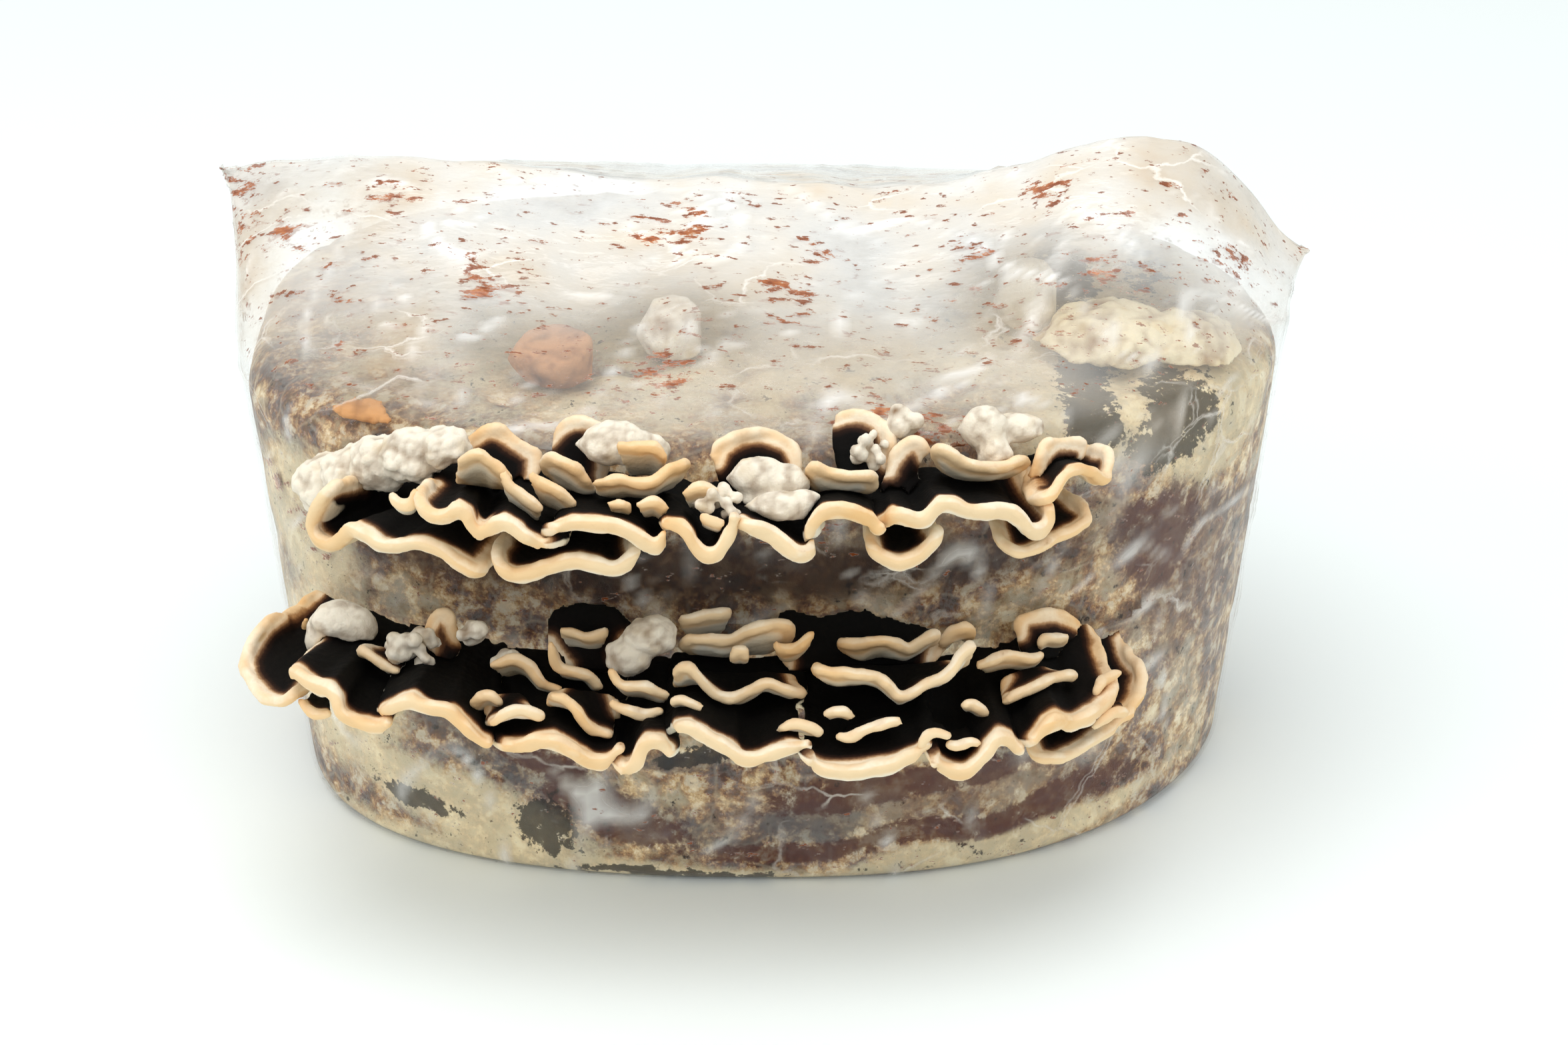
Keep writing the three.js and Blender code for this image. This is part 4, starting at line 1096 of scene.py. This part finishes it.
def small_caps(material, settings):
    """Makes each small cap as a thin leaf between its rim and its foot."""
    for name, (slit, rim, back, down) in SMALL_CAPS.items():
        line = smooth_line([at_slit(slit, *spot) for spot in rim], 0.8 * MM)
        rows = 6
        bpy.ops.object.select_all(action="DESELECT")
        bpy.ops.mesh.primitive_grid_add(x_subdivisions=len(line) - 1, y_subdivisions=rows, size=1)
        leaf = bpy.context.object
        leaf.name = "small_" + name
        flat = vertex_places(leaf)
        along = np.rint((flat[:, 0] + 0.5) * (len(line) - 1)).astype(int)
        inward = 0.5 - flat[:, 1]
        tip = line[along]
        foot = tip * 0.6 + line.mean(axis=0) * 0.4 + np.array([0, back, -down]) * MM
        places = tip + (foot - tip) * inward[:, None]
        places[:, 2] -= 0.8 * MM * np.sin(inward * math.pi)
        set_places(leaf, places)
        modify(leaf, "SOLIDIFY", thickness=1.5 * MM, offset=0)
        grown_cap(leaf, [line], [], (0, 0.6, 1), settings)
        finish_piece(leaf, material)


# ---- Pale and resting growths ----


# How warty each growth is: the long white mass is all warts, the others are smoother.
WARTS = {"upper_white_mass": 1.1, "lower_pale_mass": 0.6, "upper_pale_cap": 0.6, "crust_cream": 1.4}


def knobbly(body, grain, relief, grid, seed):
    """Small lumps all over a growth, and a mark that is high in its crevices, where the material paints shade.
    """
    remesh(body, grid, 4)
    relief *= WARTS.get(body.name.removeprefix("grown_"), 0.4)
    places, normals = vertex_places(body), vertex_normals(body)
    big = cells(places, grain * 2.1, seed)
    small = cells(places, grain, seed + 5)
    tiny = cells(places, grain * 0.55, seed + 9)
    height = relief * (1.3 * (0.5 - big) + 0.9 * (0.45 - small) + 0.4 * (0.45 - tiny))
    places += normals * height[:, None]
    set_places(body, places)
    mark(body, "hollow", 0.45 * big + 0.45 * small + 0.2 * tiny)
    return body


# Clusters of bead-like buds: slit, middle (percent across, mm out, mm up), spread in mm
# across, out and up, how many, bead radius in mm.
BUDS = {
    "buds_left": (UPPER_SLIT, (-8, 24, 6), (4.5, 2.5, 3), 16, 1.3),
    "buds_in_cup": (UPPER_SLIT, (19, 5, 8), (3.5, 2.5, 3.5), 14, 1.4),
    "disc_behind": (UPPER_SLIT, (26, -1, 11), (3, 1.5, 2.5), 6, 2.2),
    "buds_low_left": (LOWER_SLIT, (-65, 8, 5), (5.5, 3, 4), 22, 1.6),
    "knob_low_a": (LOWER_SLIT, (-54, 8, 9), (2.2, 1.5, 2), 5, 2.0),
    "knob_low_b": (LOWER_SLIT, (-48, 9, 3), (2.2, 1.5, 2), 5, 1.9),
}


def bud_cluster(name, slit, middle, spread, count, radius):
    """Beads heaped about one place and grown into each other."""
    centre = at_slit(slit, *middle)
    beads = []
    for i in range(count):
        far = math.sqrt((i + 0.5) / count)
        way = (math.sin(2.4 * i) * far, math.sin(1.7 * i + 0.6), math.cos(2.4 * i) * far)
        size = radius * (0.8 + 0.35 * math.sin(5.1 * i + middle[0]) ** 2) * MM
        place = centre + Vector([a * b * MM for a, b in zip(way, spread)])
        bpy.ops.object.select_all(action="DESELECT")
        bpy.ops.mesh.primitive_ico_sphere_add(subdivisions=2, radius=size, location=place)
        beads.append(bpy.context.object)
    heap = beads[0]
    heap.name = name
    join(heap, beads[1:])
    pick_only(heap)
    bpy.ops.object.transform_apply(location=True, rotation=True, scale=True)
    return heap


class TURKEY_OT_growths(bpy.types.Operator):
    """Makes the white, unformed growths that stand among the caps"""

    bl_idname = "turkey.growths"
    bl_label = "Pale growths"

    def execute(self, context):
        settings = context.scene.turkey_growths
        # The last colour is the painted shade in the crevices.
        material = growth_material("Unformed white fungus tissue", "#EFE5D3", "#DCCBB0", "#8F745A")
        for i, name in enumerate(PALE):
            body = knobbly(copy_of(name, "grown_" + name), settings.grain, settings.relief, 0.6, 3.0 + i)
            finish_piece(body, material, [name])
        for i, (name, shape) in enumerate(BUDS.items()):
            body = knobbly(bud_cluster(name, *shape), settings.grain, settings.relief, 0.5, 51.0 + i)
            finish_piece(body, material)
        return {"FINISHED"}


class TURKEY_OT_resting(bpy.types.Operator):
    """Makes the knobs and the crust that grow under the film"""

    bl_idname = "turkey.resting"
    bl_label = "Growths under the film"

    def execute(self, context):
        settings = context.scene.turkey_growths
        # Light, middle and crevice colour for each growth; the crevice colour is painted shade.
        tones = {
            "knob_orange": ("#D49A62", "#B8763E", "#7A4A28"),
            "knob_brown": ("#C08C60", "#8F5C38", "#5A3420"),
            "knob_white": ("#F3ECDD", "#E2D0AE", "#8F6B48"),
            "knob_upright": ("#DCD3C0", "#C3B294", "#8A7760"),
            "crust_cream": ("#F2E4C2", "#E6CC98", "#8A5E34"),
        }
        for i, name in enumerate(RESTING):
            light, mid, crevice_shade_colour = tones[name]
            material = growth_material("Resting tissue, " + name.split("_")[1], light, mid, crevice_shade_colour)
            grain = settings.grain * 1.5
            body = knobbly(copy_of(name, "grown_" + name), grain, settings.relief, 0.8, 31.0 + i)
            finish_piece(body, material, [name])
        return {"FINISHED"}


# ---- The patch ----


class TURKEY_OT_patch(bpy.types.Operator):
    """Makes the breather patch, with its welded border"""

    bl_idname = "turkey.patch"
    bl_label = "Breather patch"

    def execute(self, context):
        patch = copy_of(PATCH, "breather_cloth")
        modify(patch, "BEVEL", width=0.0003, segments=2, limit_method="ANGLE")
        finish_piece(patch, patch_material(), [PATCH])
        return {"FINISHED"}


# ---- The stage ----


class TURKEY_OT_stage(bpy.types.Operator):
    """Makes the floor, the lights and the camera"""

    bl_idname = "turkey.stage"
    bl_label = "Stage"

    def execute(self, context):
        settings = context.scene.turkey_stage
        bpy.ops.object.select_all(action="DESELECT")
        bpy.ops.mesh.primitive_plane_add(size=12, location=(0, 0, -0.0002))
        floor = context.object
        floor.name = "paper"
        floor.data.materials.append(floor_material())

        world = bpy.data.worlds.new("Soft studio")
        world.use_nodes = True
        backdrop = world.node_tree.nodes["Background"]
        backdrop.inputs[0].default_value = linear("#F3F8F8")
        backdrop.inputs[1].default_value = 0.7
        context.scene.world = world

        target = Vector(settings.target)
        for name, place, size, power in (
            ("Overhead softbox", (-0.15, -0.1, 1.3), 1.1, 9.0),
            ("Left softbox", (-1.2, -0.7, 0.9), 0.9, 5.0),
            ("Right softbox", (1.3, -0.5, 0.8), 0.8, 3.2),
            ("Front fill", (0.1, -1.6, 0.9), 0.9, 3.0),
        ):
            bpy.ops.object.light_add(type="AREA", location=place)
            lamp = context.object
            lamp.name = name
            lamp.data.size = size
            lamp.data.energy = power
            lamp.rotation_euler = (target - Vector(place)).to_track_quat("-Z", "Y").to_euler()

        away = Vector((0, -math.cos(settings.elevation), math.sin(settings.elevation)))
        camera = bpy.data.cameras.new("Camera")
        camera.lens = settings.lens
        camera.sensor_width = 36
        camera.clip_start, camera.clip_end = 0.01, 50
        eye = bpy.data.objects.new("Camera", camera)
        context.scene.collection.objects.link(eye)
        eye.location = target + away * settings.distance
        eye.rotation_euler = (-away).to_track_quat("-Z", "Y").to_euler()
        context.scene.camera = eye
        context.scene.view_settings.view_transform = "Standard"
        return {"FINISHED"}


# ---- Panel and registration ----


class TURKEY_PT_sidebar(bpy.types.Panel):
    """Lists the pieces and their sizes"""

    bl_idname = "TURKEY_PT_sidebar"
    bl_label = "Turkey tail block"
    bl_space_type = "VIEW_3D"
    bl_region_type = "UI"
    bl_category = "Turkey tail"

    def draw(self, context):
        for operator, group in MAKERS:
            box = self.layout.box()
            box.operator(operator.bl_idname)
            if group:
                owner = getattr(context.scene, group)
                for key in owner.__annotations__:
                    box.prop(owner, key)


GROUPS = {
    "turkey_film": FilmSettings,
    "turkey_block": BlockSettings,
    "turkey_caps": CapSettings,
    "turkey_growths": GrowthSettings,
    "turkey_stage": StageSettings,
}
MAKERS = [
    (TURKEY_OT_block, "turkey_block"),
    (TURKEY_OT_film, "turkey_film"),
    (TURKEY_OT_patch, None),
    (TURKEY_OT_resting, None),
    (TURKEY_OT_caps, "turkey_caps"),
    (TURKEY_OT_growths, "turkey_growths"),
    (TURKEY_OT_stage, "turkey_stage"),
]


def register():
    for name, group in GROUPS.items():
        bpy.utils.register_class(group)
        setattr(bpy.types.Scene, name, bpy.props.PointerProperty(type=group))
    for operator, _ in MAKERS:
        bpy.utils.register_class(operator)
    bpy.utils.register_class(TURKEY_PT_sidebar)


def unregister():
    bpy.utils.unregister_class(TURKEY_PT_sidebar)
    for operator, _ in reversed(MAKERS):
        bpy.utils.unregister_class(operator)
    for name, group in GROUPS.items():
        delattr(bpy.types.Scene, name)
        bpy.utils.unregister_class(group)


def main():
    register()
    bpy.ops.turkey.block()
    bpy.ops.turkey.film()
    bpy.ops.turkey.patch()
    bpy.ops.turkey.resting()
    bpy.ops.turkey.caps()
    bpy.ops.turkey.growths()
    bpy.ops.turkey.stage()


if __name__ == "__main__":
    main()
